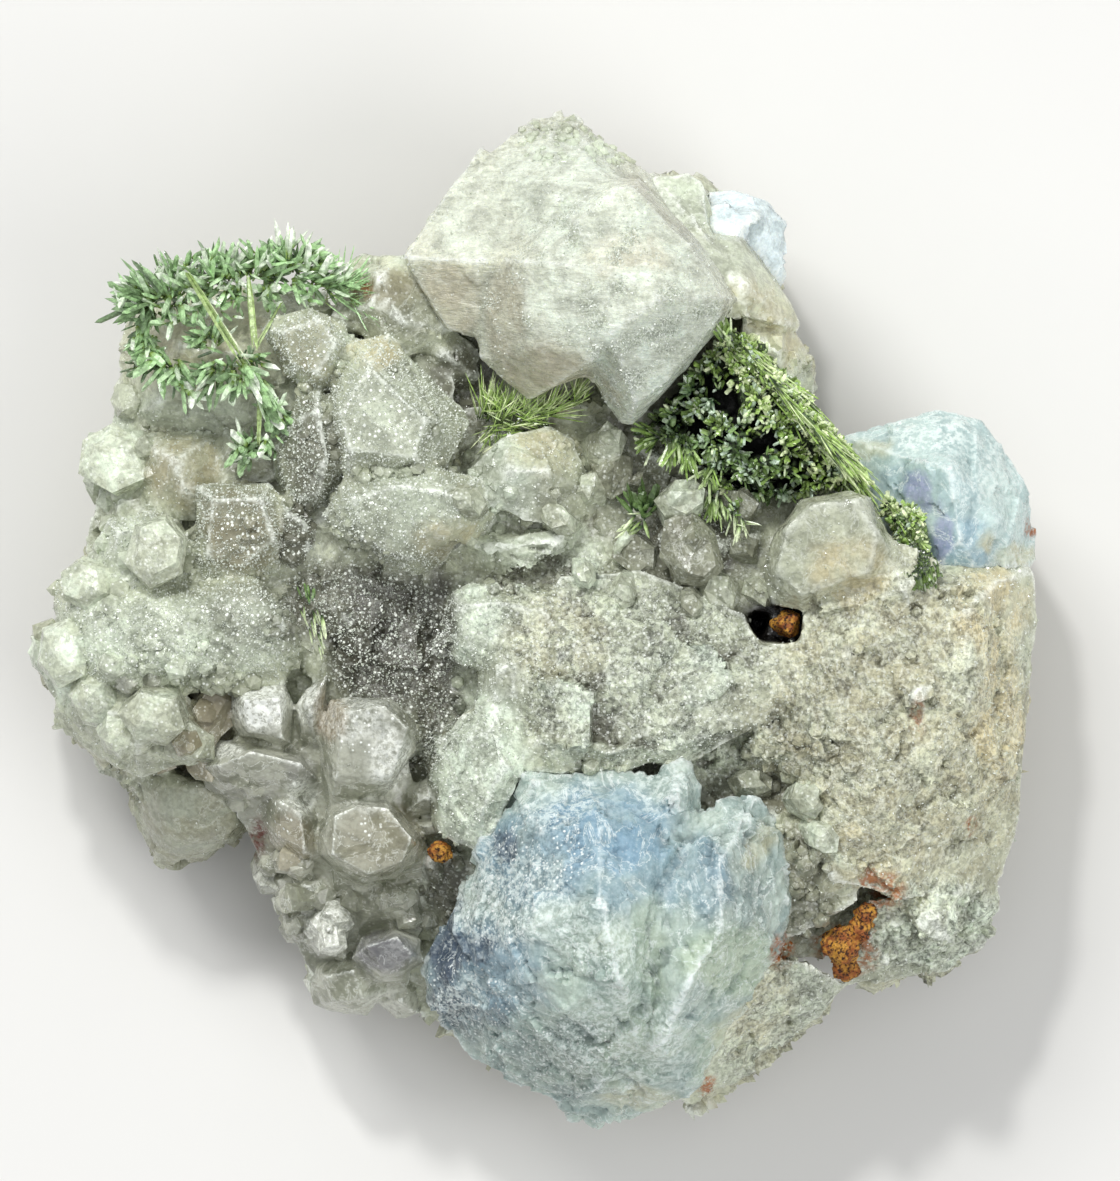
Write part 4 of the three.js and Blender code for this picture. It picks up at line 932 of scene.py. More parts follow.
def clear_masks(p, n, lift):
    wander = stray(p, 1.0, 43, 4, 0.4)
    milk = spots(wander, [
        (262, 705, 34, 30, 0.9), (350, 715, 50, 30, 0.6), (390, 760, 26, 40, 0.7), (300, 800, 20, 20, 0.7),
        (330, 930, 30, 30, 0.6), (225, 750, 20, 12, 0.7), (310, 700, 16, 30, 0.8), (370, 805, 30, 10, 0.5),
        (400, 950, 24, 20, 0.3), (390, 1003, 30, 16, 0.4),
    ])
    under = soft(8.5 - p[:, 2], 0, 2) * soft(-n[:, 2], -0.6, 0.4)
    warm = spots(wander, [(330, 715, 18, 30, 0.8), (290, 840, 26, 30, 0.35), (380, 840, 50, 40, 0.2)])
    smoke = spots(wander, [(385, 955, 34, 24, 0.8), (300, 770, 20, 20, 0.3)])
    rust = spots(wander, [(257, 838, 10, 24, 1)])
    frost = spots(wander, [
        (370, 720, 50, 40, 1), (260, 700, 34, 20, 0.8), (280, 815, 20, 24, 1), (350, 830, 40, 20, 0.7),
    ])
    return quartz_masks(p, milk=np.maximum(milk, under * 0.6), warm=warm, smoke=smoke, rust=rust, frost=frost)


FLUORITE_CRACK = [(690, 840), (665, 880), (650, 930), (655, 1000)]


def fluorite_relief(p, n):
    wander = stray(p, 2.0, 103, 3, 0.4)
    lift = rough(p, 3.0, 101, 4) * 0.15
    blocks = facets(wander, 2.8, 102, 0.10, 0.14) + facets(wander, 1.1, 106, 0.13, 0.05)
    lift += blocks + facets(p, 0.45, 109, 0.18, 0.03)
    rugged = spots(wander, [
        (545, 850, 60, 60, 1), (480, 1000, 60, 60, 0.8), (560, 1060, 90, 50, 0.6), (740, 900, 60, 80, 0.5),
    ])
    lift += rugged * (sugar(p, 107, 0.4) * 0.35) + rough(p, 0.5, 108, 3) * 0.05
    lift -= near_line(p, FLUORITE_CRACK, 0.35) * 0.15
    lift -= near_line(p, [(560, 1020), (640, 1095)], 0.3) * 0.2
    return lift + side_druse(p, n) * 0.5


def fluorite_masks(p, n, lift):
    wander = stray(p, 1.8, 113, 4, 0.8)
    blue = spots(wander, [
        (600, 830, 90, 50, 1), (540, 860, 60, 60, 0.7), (480, 970, 60, 60, 0.7), (700, 870, 36, 46, 0.6),
        (640, 880, 60, 50, 0.5), (560, 1000, 80, 70, 0.25),
    ])
    navy = spots(wander, [
        (447, 940, 22, 50, 1), (470, 950, 30, 20, 0.8), (448, 1000, 18, 40, 0.7), (515, 845, 12, 14, 0.8),
        (555, 1050, 50, 30, 0.25), (735, 880, 44, 60, 0.2), (470, 1030, 20, 30, 0.35),
        (500, 1010, 20, 16, 0.3), (580, 1090, 30, 18, 0.2),
    ])
    milk = spots(wander, [
        (510, 900, 70, 60, 0.8), (590, 940, 60, 40, 0.6), (560, 800, 60, 30, 0.6), (460, 1000, 30, 26, 0.8),
        (660, 790, 30, 30, 0.6), (620, 1040, 80, 60, 0.7), (740, 830, 40, 30, 0.3),
    ])
    green = spots(wander, [
        (730, 960, 50, 40, 0.8), (650, 950, 20, 60, 0.6), (600, 970, 60, 60, 0.4), (720, 1050, 40, 40, 0.5),
        (600, 1040, 90, 60, 0.5),
    ])
    warm = spots(wander, [(760, 845, 14, 24, 0.6), (750, 1040, 40, 40, 0.6), (640, 1100, 40, 14, 0.5)])
    line = near_line(p, FLUORITE_CRACK, 0.5)
    rust = spots(wander, [(708, 1088, 10, 14, 1), (782, 952, 14, 18, 0.9)])
    grit = spots(wander, [
        (545, 850, 50, 50, 0.9), (470, 1000, 60, 50, 1), (560, 1060, 90, 50, 0.7), (500, 910, 40, 50, 0.8),
        (740, 900, 50, 70, 0.4), (590, 960, 40, 30, 0.6),
    ])
    navy *= soft(n[:, 2], -0.6, 0.2)
    milk = np.maximum(milk, line * 0.3)
    grit = np.maximum(grit, 0.15)
    return dict(blue=blue, navy=navy, milk=milk, green=green, warm=warm, rust=rust, grit=grit)


def right_fluorite_relief(p, n):
    lift = rough(p, 1.6, 121, 4) * 0.10 + facets(p, 1.6, 122, 0.10, 0.05) + facets(p, 0.5, 124, 0.08, 0.02)
    return lift + rough(p, 0.4, 123, 3) * 0.03


def right_fluorite_masks(p, n, lift):
    wander = stray(p, 1.2, 133, 4, 0.5)
    blue = np.maximum(spots(wander, [
        (965, 545, 36, 36, 0.7), (900, 480, 30, 16, 0.6), (950, 500, 40, 40, 0.3),
    ]), 0.15)
    violet = spots(wander, [(918, 488, 16, 18, 1), (943, 540, 7, 40, 0.9), (925, 505, 12, 10, 0.9)])
    milk = np.maximum(spots(wander, [
        (930, 430, 50, 26, 0.9), (985, 470, 40, 40, 0.6), (1010, 540, 24, 30, 0.4),
    ]), 0.1)
    warm = spots(wander, [(988, 540, 10, 12, 0.9), (1020, 560, 24, 16, 0.7), (870, 448, 24, 14, 0.5)])
    rust = spots(wander, [(1034, 530, 6, 12, 1)])
    grit = np.full(len(p), 0.15)
    return dict(blue=blue, milk=milk, warm=warm, violet=violet, rust=rust, grit=grit)


def white_relief(p, n):
    return rough(p, 1.4, 141, 4) * 0.1 + facets(p, 1.1, 142, 0.2, 0.1)


def white_masks(p, n, lift):
    milk = 0.4 + 0.6 * soft(rough(p, 1.2, 143, 3), -0.2, 0.4)
    return quartz_masks(p, milk=milk, frost=np.full(len(p), 0.2), grit=np.full(len(p), 0.2))


crystal(MATRIX, 0.14, matrix_relief, matrix_masks, QUARTZ, 190000, (14, 0.4), WORN, SMALL)
crystal(TOP_PAIR, 0.13, top_relief, top_masks, TOP, 46000, (70, 1.2))
crystal(LEFT, 0.13, left_relief, left_masks, QUARTZ, 56000, (6, 0.2), PLATE)
crystal(CLEAR_GROUP, 0.09, clear_relief, clear_masks, CLEAR, 76000, (2, 0.08))
crystal(FRONT_BLUE, 0.13, fluorite_relief, fluorite_masks, FLUORITE, 56000)
crystal(RIGHT_BLUE, 0.12, right_fluorite_relief, right_fluorite_masks, PALE_FLUORITE, 18000)
crystal(WHITE_BACK, 0.12, white_relief, white_masks, WHITE, 7000)


# Small crystals


BLADE = ((0.0, 0.45), (0.35, 1.0), (0.82, 0.8))


class Prisms:
    """Crystals with straight sides and a point, gathered into one mesh. profile gives how far along and how
    wide each ring is, flatness how thick they are for their width, and uneven how much the rings differ."""

    def __init__(self, seed, sides=4, profile=BLADE, flatness=0.55, uneven=0.0):
        self.random = np.random.default_rng(seed)
        self.sides, self.profile, self.flatness, self.uneven = sides, profile, flatness, uneven
        self.points, self.marks = [], []

    def add(self, foot, along, length, width, **marks):
        """Crystals from feet (n, 3) along directions (n, 3), with lengths and widths in millimetres."""
        count = len(foot)
        r = self.random
        along = along / np.linalg.norm(along, axis=1, keepdims=True)
        side = np.cross(along, r.normal(size=(count, 3)))
        side /= np.linalg.norm(side, axis=1, keepdims=True)
        up = np.cross(along, side) * self.flatness
        length = np.broadcast_to(length, count)[:, None]
        half = np.broadcast_to(width, count)[:, None] / 2
        points, ahead = [], []
        for t, wide in self.profile:
            reach = t * (0.88 + 0.24 * r.random((count, 1)))
            for k in range(self.sides):
                turn = 2 * math.pi * k / self.sides
                ring = (side * math.cos(turn) + up * math.sin(turn)) * half * wide
                if self.uneven:
                    wider, farther = (r.normal(size=(count, 1)).clip(-1.5, 1.5) for _ in range(2))
                    ring = ring * (1 + self.uneven * wider) + along * length * 0.5 * self.uneven * farther
                points.append(foot + along * length * reach + ring)
                ahead.append(reach[:, 0])
        points.append(foot + along * length + side * half * 0.25 * r.normal(size=(count, 1)))
        ahead.append(np.ones(count))
        marks["tone"] = marks.get("tone", r.random(count))
        self.points.append(np.stack(points, axis=1))
        for key, value in marks.items():
            marks[key] = np.repeat(np.broadcast_to(value, count)[:, None], len(points), axis=1)
        self.marks.append({"along": np.stack(ahead, axis=1), **marks})

    def mesh(self):
        n = self.sides
        tri = []
        for ring in range(len(self.profile) - 1):
            for k in range(n):
                a, b = ring * n + k, ring * n + (k + 1) % n
                tri += [(a, b, b + n), (a, b + n, a + n)]
        last = (len(self.profile) - 1) * n
        tri += [(last + k, last + (k + 1) % n, last + n) for k in range(n)]
        tri += [(0, k + 1, k) for k in range(1, n - 1)]
        points = np.concatenate(self.points)
        faces = np.array(tri)[None] + np.arange(len(points))[:, None, None] * points.shape[1]
        mesh = mesh_of(points.reshape(-1, 3), faces.reshape(-1, 3))
        for key in self.marks[0]:
            add_float(mesh, key, np.concatenate([marks[key] for marks in self.marks]).ravel())
        return mesh

    def tuft(self, x, y, height, aim, fan, rise, count, length, width, loose=0.35, **marks):
        """Blades that fan out from one root. aim is degrees in the picture, 0 right and 90 up, rise lifts
        them, and loose is how much they differ in that."""
        r = self.random
        turn = np.radians(aim + fan * 0.5 * r.normal(size=count).clip(-1.6, 1.6))
        along = np.stack([np.cos(turn), np.sin(turn), rise + loose * r.normal(size=count)], axis=1)
        foot = at(x, y, height) + r.normal(size=(count, 3)) * [0.16, 0.16, 0.1]
        length = length * (0.6 + 0.45 * r.random(count))
        self.add(foot, along, length, width * (0.7 + 0.5 * r.random(count)), **marks)

    def stalk(self, start, end, count, width, spread, tone):
        """Long parallel prisms from one point to another."""
        r = self.random
        a, b = at(*start), at(*end)
        foot = a + r.normal(size=(count, 3)) * spread
        self.add(foot, (b - a) + r.normal(size=(count, 3)) * spread, np.linalg.norm(b - a), width, tone=tone)


def zone_share(name, zone, low, high):
    """How far each point of a crystal lies in a zone and faces up."""
    skin = SKIN[name]
    return spots(skin["place"], [(*zone, 1.0)]) * soft(skin["facing"][:, 2], low, high) + TINY


def some_of(name, share, count, random):
    """Picks points of a crystal's surface, more of them where share is higher."""
    pick = random.choice(len(share), size=count, p=share / share.sum())
    skin = SKIN[name]
    marks = {key: skin[key][pick] for key in QUARTZ_MARKS if key in skin}
    return skin["place"][pick], skin["facing"][pick], marks


# Zones of small quartz crystals: node, x, y, reach across, reach down, count, length, width
POINT_ZONES = [
    (MATRIX, 800, 870, 34, 90, 120, 0.8, 0.5), (MATRIX, 455, 885, 34, 60, 50, 0.7, 0.5),
    (MATRIX, 230, 712, 70, 40, 80, 0.8, 0.6), (MATRIX, 60, 660, 40, 46, 14, 1.3, 1.1),
    (MATRIX, 120, 450, 34, 60, 22, 1.7, 1.5), (MATRIX, 480, 480, 34, 60, 40, 0.8, 0.6),
    (MATRIX, 590, 400, 50, 20, 40, 0.7, 0.5), (MATRIX, 760, 360, 50, 40, 40, 0.8, 0.6),
    (LEFT, 150, 700, 80, 50, 26, 1.3, 1), (LEFT, 300, 620, 40, 50, 60, 0.8, 0.5),
    (LEFT, 100, 570, 50, 60, 16, 1.1, 0.9), (LEFT, 330, 560, 60, 40, 60, 0.7, 0.5),
    (TOP_PAIR, 600, 140, 90, 24, 110, 0.5, 0.4), (MATRIX, 920, 930, 90, 40, 80, 0.7, 0.5),
    (MATRIX, 800, 755, 60, 26, 40, 0.9, 0.7), (LEFT, 225, 705, 50, 34, 40, 1.2, 0.9),
    (MATRIX, 620, 775, 70, 14, 50, 0.8, 0.6),
]

# Crystals left of this x are flat-topped plates, and the rest are rounded lumps
LEFT_EDGE = 250
# Single crystals of the middle and the left edge: x, y, length, width, lean right, lean up, smoke, milk
SINGLE_CRYSTALS = [
    (683, 502, 1.8, 1.7, 0.1, 0.3, 0.1, 0.7), (735, 508, 1.8, 1.7, 0.3, 0.2, 0.5, 0.1),
    (716, 588, 1.9, 1.8, 0.2, -0.4, 0.35, 0.3), (655, 572, 1.5, 1.5, -0.3, -0.3, 0.8, 0.1),
    (741, 548, 1.6, 1.5, 0.5, 0, 0.5, 0.2), (622, 546, 1.4, 0.6, 0.2, 0.5, 0, 1),
    (604, 448, 2, 1.9, 0.2, 0.5, 0.3, 0.4), (640, 486, 1.4, 1.2, -0.2, 0.3, 0.7, 0.1),
    (590, 488, 1.4, 1.3, -0.4, 0.2, 0.2, 0.4), (584, 573, 1.2, 1.1, 0, 0, 0, 1),
    (668, 462, 1.5, 1.3, 0.2, 0.4, 0.6, 0.1), (760, 592, 1.3, 1.2, 0.3, -0.3, 0.3, 0.3),
    (625, 590, 1.3, 1.2, -0.1, -0.3, 0.3, 0.5), (560, 520, 1.5, 1.4, -0.2, 0.2, 0.2, 0.5),
    (690, 604, 1.2, 1.1, 0, -0.4, 0.5, 0.3), (770, 470, 1.4, 1.2, 0.3, 0.3, 0.4, 0.2),
    (806, 800, 1.6, 1.5, 0.4, 0, 0.2, 0.5), (752, 786, 1.7, 1.5, 0.1, 0.2, 0.5, 0.2),
    (820, 835, 1.5, 1.3, 0.3, -0.2, 0.1, 0.7), (466, 500, 1.5, 1.3, -0.3, 0.3, 0.3, 0.3),
    (692, 550, 2.3, 3, 0.05, -0.1, 0.6, 0.05), (640, 556, 1.8, 1.9, -0.2, -0.1, 0.7, 0.1),
    (610, 470, 2, 2, -0.1, 0.3, 0.5, 0.1), (155, 715, 2.2, 2.3, -0.1, -0.3, 0.15, 0.5),
    (118, 735, 1.7, 1.8, -0.3, -0.4, 0.1, 0.5), (188, 742, 1.8, 2, 0.1, -0.4, 0.2, 0.3),
    (98, 698, 1.9, 2.2, -0.3, -0.2, 0.1, 0.7), (212, 700, 2, 2.1, 0.2, -0.2, 0.35, 0.1),
    (68, 652, 2, 2.5, -0.3, 0, 0, 0.9), (158, 552, 2, 2.6, 0.05, 0.15, 0.1, 0.45),
    (116, 462, 2.1, 2.7, -0.2, 0.2, 0, 0.7), (90, 585, 1.7, 2.2, -0.3, 0.1, 0, 0.8),
]
GROUND = tree_of([MATRIX, LEFT])

points = Prisms(201, 6, ((0.0, 0.9), (0.76, 1.0)), 1.0)
r = points.random
for node, *zone, count, length, width in POINT_ZONES:
    foot, out, marks = some_of(node, zone_share(node, zone, -0.3, 0.4), count, r)
    size = (0.45 + 0.75 * r.random(count) ** 2)[:, None]
    lean = out + r.normal(size=(count, 3)) * 0.45
    points.add(foot - out * length * size * 0.6, lean, (length * size)[:, 0], (width * size)[:, 0], **marks)
for node, count in ((MATRIX, 420), (LEFT, 300)):
    share = SKIN[node]["crease_shade"] ** 2 * soft(SKIN[node]["facing"][:, 2], -0.9, 0.2) + TINY
    foot, out, marks = some_of(node, share, count, r)
    size = 0.3 + 0.4 * r.random(count)
    lean = out + r.normal(size=(count, 3)) * 0.5
    points.add(foot - out * size[:, None] * 0.4, lean, size, size * 0.75, **marks)
finish_piece(points.mesh(), "small_quartz_points", QUARTZ)

lumps = Prisms(207, 7, ((0.0, 0.8), (0.45, 1.0), (0.78, 0.84), (0.93, 0.5)), 0.75, 0.14)
plates = Prisms(208, 6, ((0.0, 0.9), (0.66, 1.0), (0.86, 0.7)), 0.85, 0.05)
for x, y, length, width, lean_x, lean_y, smoke, milk in SINGLE_CRYSTALS:
    place = GROUND.ray_cast((*at(x, y)[:2], HIGH_ABOVE), (0, 0, -1))[0]
    marks = dict(zip(QUARTZ_MARKS, (milk, smoke, 0.1, 0.0, 0.0, 0.5, 0.35)))
    lean = np.array([[lean_x * 1.5, lean_y * 1.5, 1.0]])
    kind = plates if x < LEFT_EDGE else lumps
    kind.add(np.array(place)[None] - lean * length * 0.5, lean, length * 1.1, width * 1.1, **marks)
finish_piece(lumps.mesh(), "middle_quartz_crystals", QUARTZ)
finish_piece(plates.mesh(), "left_edge_crystals", QUARTZ)

# The same for glassy ones, on the clear group and beside it
CLEAR_ZONES = [
    (CLEAR_GROUP, 290, 900, 30, 60, 22, 1.4, 1.1), (CLEAR_GROUP, 330, 915, 40, 40, 12, 1.4, 1.2),
    (CLEAR_GROUP, 410, 905, 26, 30, 10, 1.2, 1), (CLEAR_GROUP, 250, 790, 26, 24, 8, 1.1, 1),
    (LEFT, 150, 700, 50, 26, 14, 1.2, 1.1), (MATRIX, 216, 690, 26, 18, 10, 3.6, 1.8),
    (MATRIX, 224, 716, 20, 14, 7, 3, 1.5), (MATRIX, 190, 752, 24, 12, 7, 3, 1.6),
]
glass = Prisms(205, 6, ((0.0, 0.95), (0.78, 1.0)), 1.0)
r = glass.random
for node, *zone, count, length, width in CLEAR_ZONES:
    foot, out, marks = some_of(node, zone_share(node, zone, -0.5, 0.3), count, r)
    if node == MATRIX:
        marks["smoke"], marks["warm"] = marks["smoke"] * 0.1, 0.35
    size = 0.6 + 0.5 * r.random(count)
    lean = out * 0.6 + r.normal(size=(count, 3)) * 0.35 + np.array([0, 0, 0.3])
    foot = foot - out * (length * size)[:, None] * 0.55
    glass.add(foot, lean, length * size, width * size, edge=0.0, **marks)
finish_piece(glass.mesh(), "small_clear_points", CLEAR)

grains_of_frost = Prisms(211, 3, ((0.0, 1.0),), 1.0)
r = grains_of_frost.random
for node, count in ((MATRIX, 24000), (LEFT, 17000), (TOP_PAIR, 6000)):
    share = SKIN[node]["frost"] ** 2 * soft(SKIN[node]["facing"][:, 2], -0.2, 0.5) + TINY
    foot, out, _ = some_of(node, share, count, r)
    size = 0.045 + 0.07 * r.random(count)
    shift = r.normal(size=(count, 3)) * 0.08
    shift -= out * np.sum(shift * out, axis=1)[:, None]
    lean = out + r.normal(size=(count, 3)) * 0.4
    grains_of_frost.add(foot + shift - out * size[:, None] * 0.3, lean, size, size)
finish_piece(grains_of_frost.mesh(), "frost_grains", FROST)

# Left spray: x, y, height, aim, fan, rise, count, length
LEFT_TUFTS = [
    (150, 303, 10.9, 182, 40, 0.2, 16, 1.75), (148, 298, 11.1, 150, 46, 0.4, 18, 1.5),
    (165, 297, 11.2, 128, 34, 0.4, 15, 1.7), (178, 290, 11.3, 105, 40, 0.5, 14, 1.6),
    (186, 285, 11.4, 80, 60, 0.6, 12, 1.2), (200, 283, 11.4, 120, 50, 0.5, 14, 1.35),
    (214, 280, 11.5, 95, 50, 0.5, 16, 1.5), (219, 277, 11.5, 70, 30, 0.3, 7, 1.6),
    (232, 276, 11.4, 100, 60, 0.5, 14, 1.2), (250, 274, 11.5, 88, 30, 0.35, 9, 1.45),
    (256, 272, 11.5, 50, 36, 0.35, 12, 1.35), (272, 272, 11.5, 80, 70, 0.5, 14, 1.2),
    (290, 266, 11.6, 92, 26, 0.35, 10, 1.55), (302, 268, 11.6, 70, 36, 0.35, 10, 1.25),
    (312, 276, 11.6, 40, 46, 0.35, 14, 1.35), (322, 284, 11.6, 15, 40, 0.3, 14, 1.4),
    (296, 286, 11.6, 330, 70, 0.4, 14, 1), (268, 288, 11.4, 280, 90, 0.5, 14, 1),
    (235, 288, 11.3, 260, 90, 0.5, 14, 1), (205, 298, 11.3, 250, 80, 0.6, 12, 1),
    (176, 304, 11.1, 290, 60, 0.4, 12, 1.2), (150, 310, 10.9, 240, 50, 0.2, 12, 1.2),
    (140, 326, 11, 262, 40, 0.2, 9, 1.3), (146, 340, 11.1, 250, 60, 0.4, 12, 1),
    (152, 352, 11.2, 275, 50, 0.45, 14, 1.1), (162, 364, 11.2, 268, 40, 0.4, 12, 1.3),
    (175, 368, 11.2, 278, 50, 0.4, 12, 1.2), (186, 384, 11.2, 290, 50, 0.3, 10, 1),
    (143, 366, 11, 190, 40, 0.3, 5, 0.9), (204, 344, 11.8, 178, 44, 0.4, 10, 1.1),
    (210, 336, 11.9, 92, 40, 0.4, 7, 1.1), (212, 368, 11.8, 225, 50, 0.4, 12, 1),
    (231, 372, 12.1, 232, 30, 0.3, 8, 1.25), (238, 378, 12.2, 252, 22, 0.3, 9, 1.3),
    (246, 366, 12.2, 304, 14, 0.25, 14, 1.5), (252, 362, 12.2, 340, 44, 0.4, 8, 0.8),
    (258, 386, 12, 304, 14, 0.2, 16, 1.4), (270, 404, 11.8, 306, 18, 0.15, 16, 1.2),
    (280, 420, 11.7, 300, 50, 0.15, 14, 0.8), (214, 378, 11.9, 236, 30, 0.3, 9, 1.1),
    (246, 446, 11.7, 118, 20, 0.4, 5, 0.95), (244, 450, 11.6, 192, 30, 0.3, 6, 0.85),
    (256, 450, 11.6, 30, 50, 0.4, 7, 0.8), (244, 456, 11.5, 240, 24, 0.3, 7, 0.9),
    (266, 440, 11.6, 280, 30, 0.3, 8, 0.8),
]

# The upper row is above this y, and its outer blades grow so many pixels farther out
UPPER_ROW = 330
FARTHER = 15
spray = Prisms(5)
for x, y, height, aim, fan, rise, count, length in LEFT_TUFTS:
    # Broad blades, small ones below them darkened as painted shade, stray ones, and in the upper row more of
    # them farther out
    spray.tuft(x, y, height, aim, fan * 1.5, rise, round(count * 0.55), length * 1.14, 0.31, 0.55)
    spray.tuft(x, y, height - 0.25, aim, fan * 2.4, rise * 0.5, 10, length * 0.7, 0.2, 0.5, tone=0.04)
    spray.tuft(x, y, height, aim, 300, rise, 4, length * 0.6, 0.22, 0.6)
    if y < UPPER_ROW:
        x, y = x + FARTHER * math.cos(math.radians(aim)), y - FARTHER * math.sin(math.radians(aim))
        spray.tuft(x, y, height + 0.1, aim, fan * 2.6, rise, round(count * 0.5), length * 0.7, 0.24, 0.6)
spray.stalk((240, 362, 12.4), (277, 410, 12.0), 5, 0.18, 0.09, 0.3)
spray.stalk((288, 258, 11.9), (289, 224, 12.2), 3, 0.22, 0.05, 1.0)
for x, y, height, aim, count in [
    (330, 292, 11.5, 10, 30), (345, 284, 11.6, 35, 24), (352, 300, 11.5, 345, 18),
]:
    spray.tuft(x, y, height, aim, 60, 0.15, count, 1.5, 0.07, tone=0.35)
finish_piece(spray.mesh(), "left_olivenite_needles", SPRAY_GREEN, ["left_olivenite_spray"])

stalks = Prisms(6)
stalks.stalk((181, 266, 12.1), (240, 362, 13.1), 3, 0.26, 0.06, 0.5)
stalks.stalk((184, 270, 12.1), (246, 366, 13.0), 2, 0.14, 0.08, 0.9)
stalks.stalk((249, 276, 12.2), (256, 350, 12.8), 2, 0.20, 0.04, 0.4)
stalks.stalk((262, 392, 12.0), (260, 446, 11.6), 3, 0.15, 0.06, 0.4)
stalks.stalk((281, 302, 11.8), (252, 348, 12.6), 2, 0.12, 0.06, 0.6)
finish_piece(stalks.mesh(), "left_olivenite_stalks", STALK_GREEN)


# Width of a clump of needles, in millimetres
CLUMP = 0.7


def cushion(name, voxel, seed, count, length, width, deepest, hole_size, bare, ridge):
    """A crust of short crystals in clumps on a body of the CAD solid's form, painted dark as painted shade,
    with deep holes between them, fewer near the ridge. A higher bare leaves fewer holes."""
    mesh = even_mesh(name, voxel)
    co, n = positions(mesh), normals(mesh)
    first, second, from_clump, _ = grains(co, CLUMP, seed)
    hole = soft(ripple(co, hole_size, seed) + 0.5 * ripple(co, hole_size / 2, seed + 1), bare, bare + 0.3)
    hole = np.maximum(hole, 0.8 * (1 - soft(second - first, 0.03, 0.16)))
    hole *= 1 - 0.8 * near_line(co, ridge, 1.5)
    out = co + n * (rough(co, 0.5, seed + 2, 3) * 0.2 - 0.15)[:, None]
    out -= np.array([0, 0, 1]) * (hole * deepest)[:, None]
    set_positions(mesh, out)
    # The holes are painted blacker still, as painted shade
    add_float(mesh, "hole", hole)
    finish_piece(mesh, name + "_body", DARK_GREEN, [name], 50)
    crystals = Prisms(seed, 4, ((0.0, 0.8), (0.25, 1.0), (0.85, 0.95)), 0.7)
    r = crystals.random
    share = (1 - hole) ** 2 * soft(n[:, 2], -0.5, 0.3) + TINY
    pick = r.choice(len(share), size=count, p=share / share.sum())
    on_ridge = near_line(out[pick], ridge, 2.4)
    clump = 0.4 + 1.1 * ripple(out[pick], 0.55, seed + 4) + 0.2 * on_ridge
    lean = n[pick] * 0.4 + from_clump[pick] / CLUMP * 1.6 + r.normal(size=(count, 3)) * 0.6
    size = 0.5 + 0.8 * r.random(count)
    glint = r.random(count) < 0.12
    tone = np.where(glint, 1.0, np.clip(clump + 0.35 * r.normal(size=count), 0, 1))
    cool = np.clip(0.75 - on_ridge + 1.4 * ripple(out[pick], 0.8, seed + 5) + glint, 0, 1)
    thick = width * (0.6 + 0.9 * r.random(count) ** 2)
    crystals.add(out[pick] - n[pick] * 0.08, lean, length * size, thick, tone=tone, cool=cool)
    return crystals, tree_of([name])


def combed(crystals, tree, path, count, spread, length, width, tone=0.35, cool=0.0):
    """Fine long needles that lie along a path on a surface."""
    r = crystals.random
    a, b = at(*path[0]), at(*path[1])
    across = np.array([a[1] - b[1], b[0] - a[0], 0]) / np.linalg.norm((b - a)[:2])
    for t, off in zip(r.random(count), r.normal(size=count)):
        foot = a + (b - a) * t * 0.9 + across * off * spread
        place = tree.ray_cast((*foot[:2], HIGH_ABOVE), (0, 0, -1))[0]
        if place is not None:
            foot[2] = place.z - 0.05
            lean = (b - a) / np.linalg.norm(b - a) + r.normal(size=3) * 0.13 + np.array([0, 0, 0.04])
            size = (length * (0.5 + r.random()), width * (0.6 + 0.8 * r.random()))
            crystals.add(foot[None], lean[None], *size, tone=max(0.0, tone + 0.5 * r.random()), cool=cool)


# The smooth upper edge of the mass, with long needles along it
RIDGE = [(712, 330), (745, 350), (870, 490), (905, 545)]
mass, mass_tree = cushion("right_olivenite_mass", 0.10, 61, 6200, 0.37, 0.17, 1.6, 1.0, -0.04, RIDGE)
combed(mass, mass_tree, ((738, 336), (880, 500)), 300, 0.22, 1.1, 0.07)
combed(mass, mass_tree, ((722, 326), (762, 362)), 110, 0.30, 0.7, 0.075)
combed(mass, mass_tree, ((764, 362), (860, 480)), 130, 0.14, 0.7, 0.07, -0.4, 1.0)
for tuft in [
    (676, 440, 12.2, 262, 40, 0.1, 26, 1.2), (688, 450, 12.2, 275, 40, 0.1, 20, 1.1),
    (655, 438, 11.4, 200, 60, 0.2, 24, 0.9), (712, 470, 12.2, 250, 50, 0.3, 12, 0.9),
    (728, 338, 13.8, 110, 60, 0.3, 24, 0.7), (712, 498, 11.3, 262, 30, 0.2, 12, 0.9),
]:
    mass.tuft(*tuft, 0.15, cool=0.3)
finish_piece(mass.mesh(), "right_olivenite_needles", MASS_GREEN)

POCKET_RIDGE = [(890, 500), (915, 512)]
pocket, pocket_tree = cushion("pocket_olivenite", 0.09, 66, 1200, 0.36, 0.15, 0.9, 0.9, 0.05, POCKET_RIDGE)
combed(pocket, pocket_tree, ((884, 498), (922, 552)), 50, 0.14, 0.8, 0.08)
beside = tree_of([MATRIX, "pocket_olivenite"])
combed(pocket, beside, ((912, 520), (926, 588)), 420, 0.28, 0.32, 0.13, -0.3, 0.4)
finish_piece(pocket.mesh(), "pocket_olivenite_needles", MASS_GREEN)

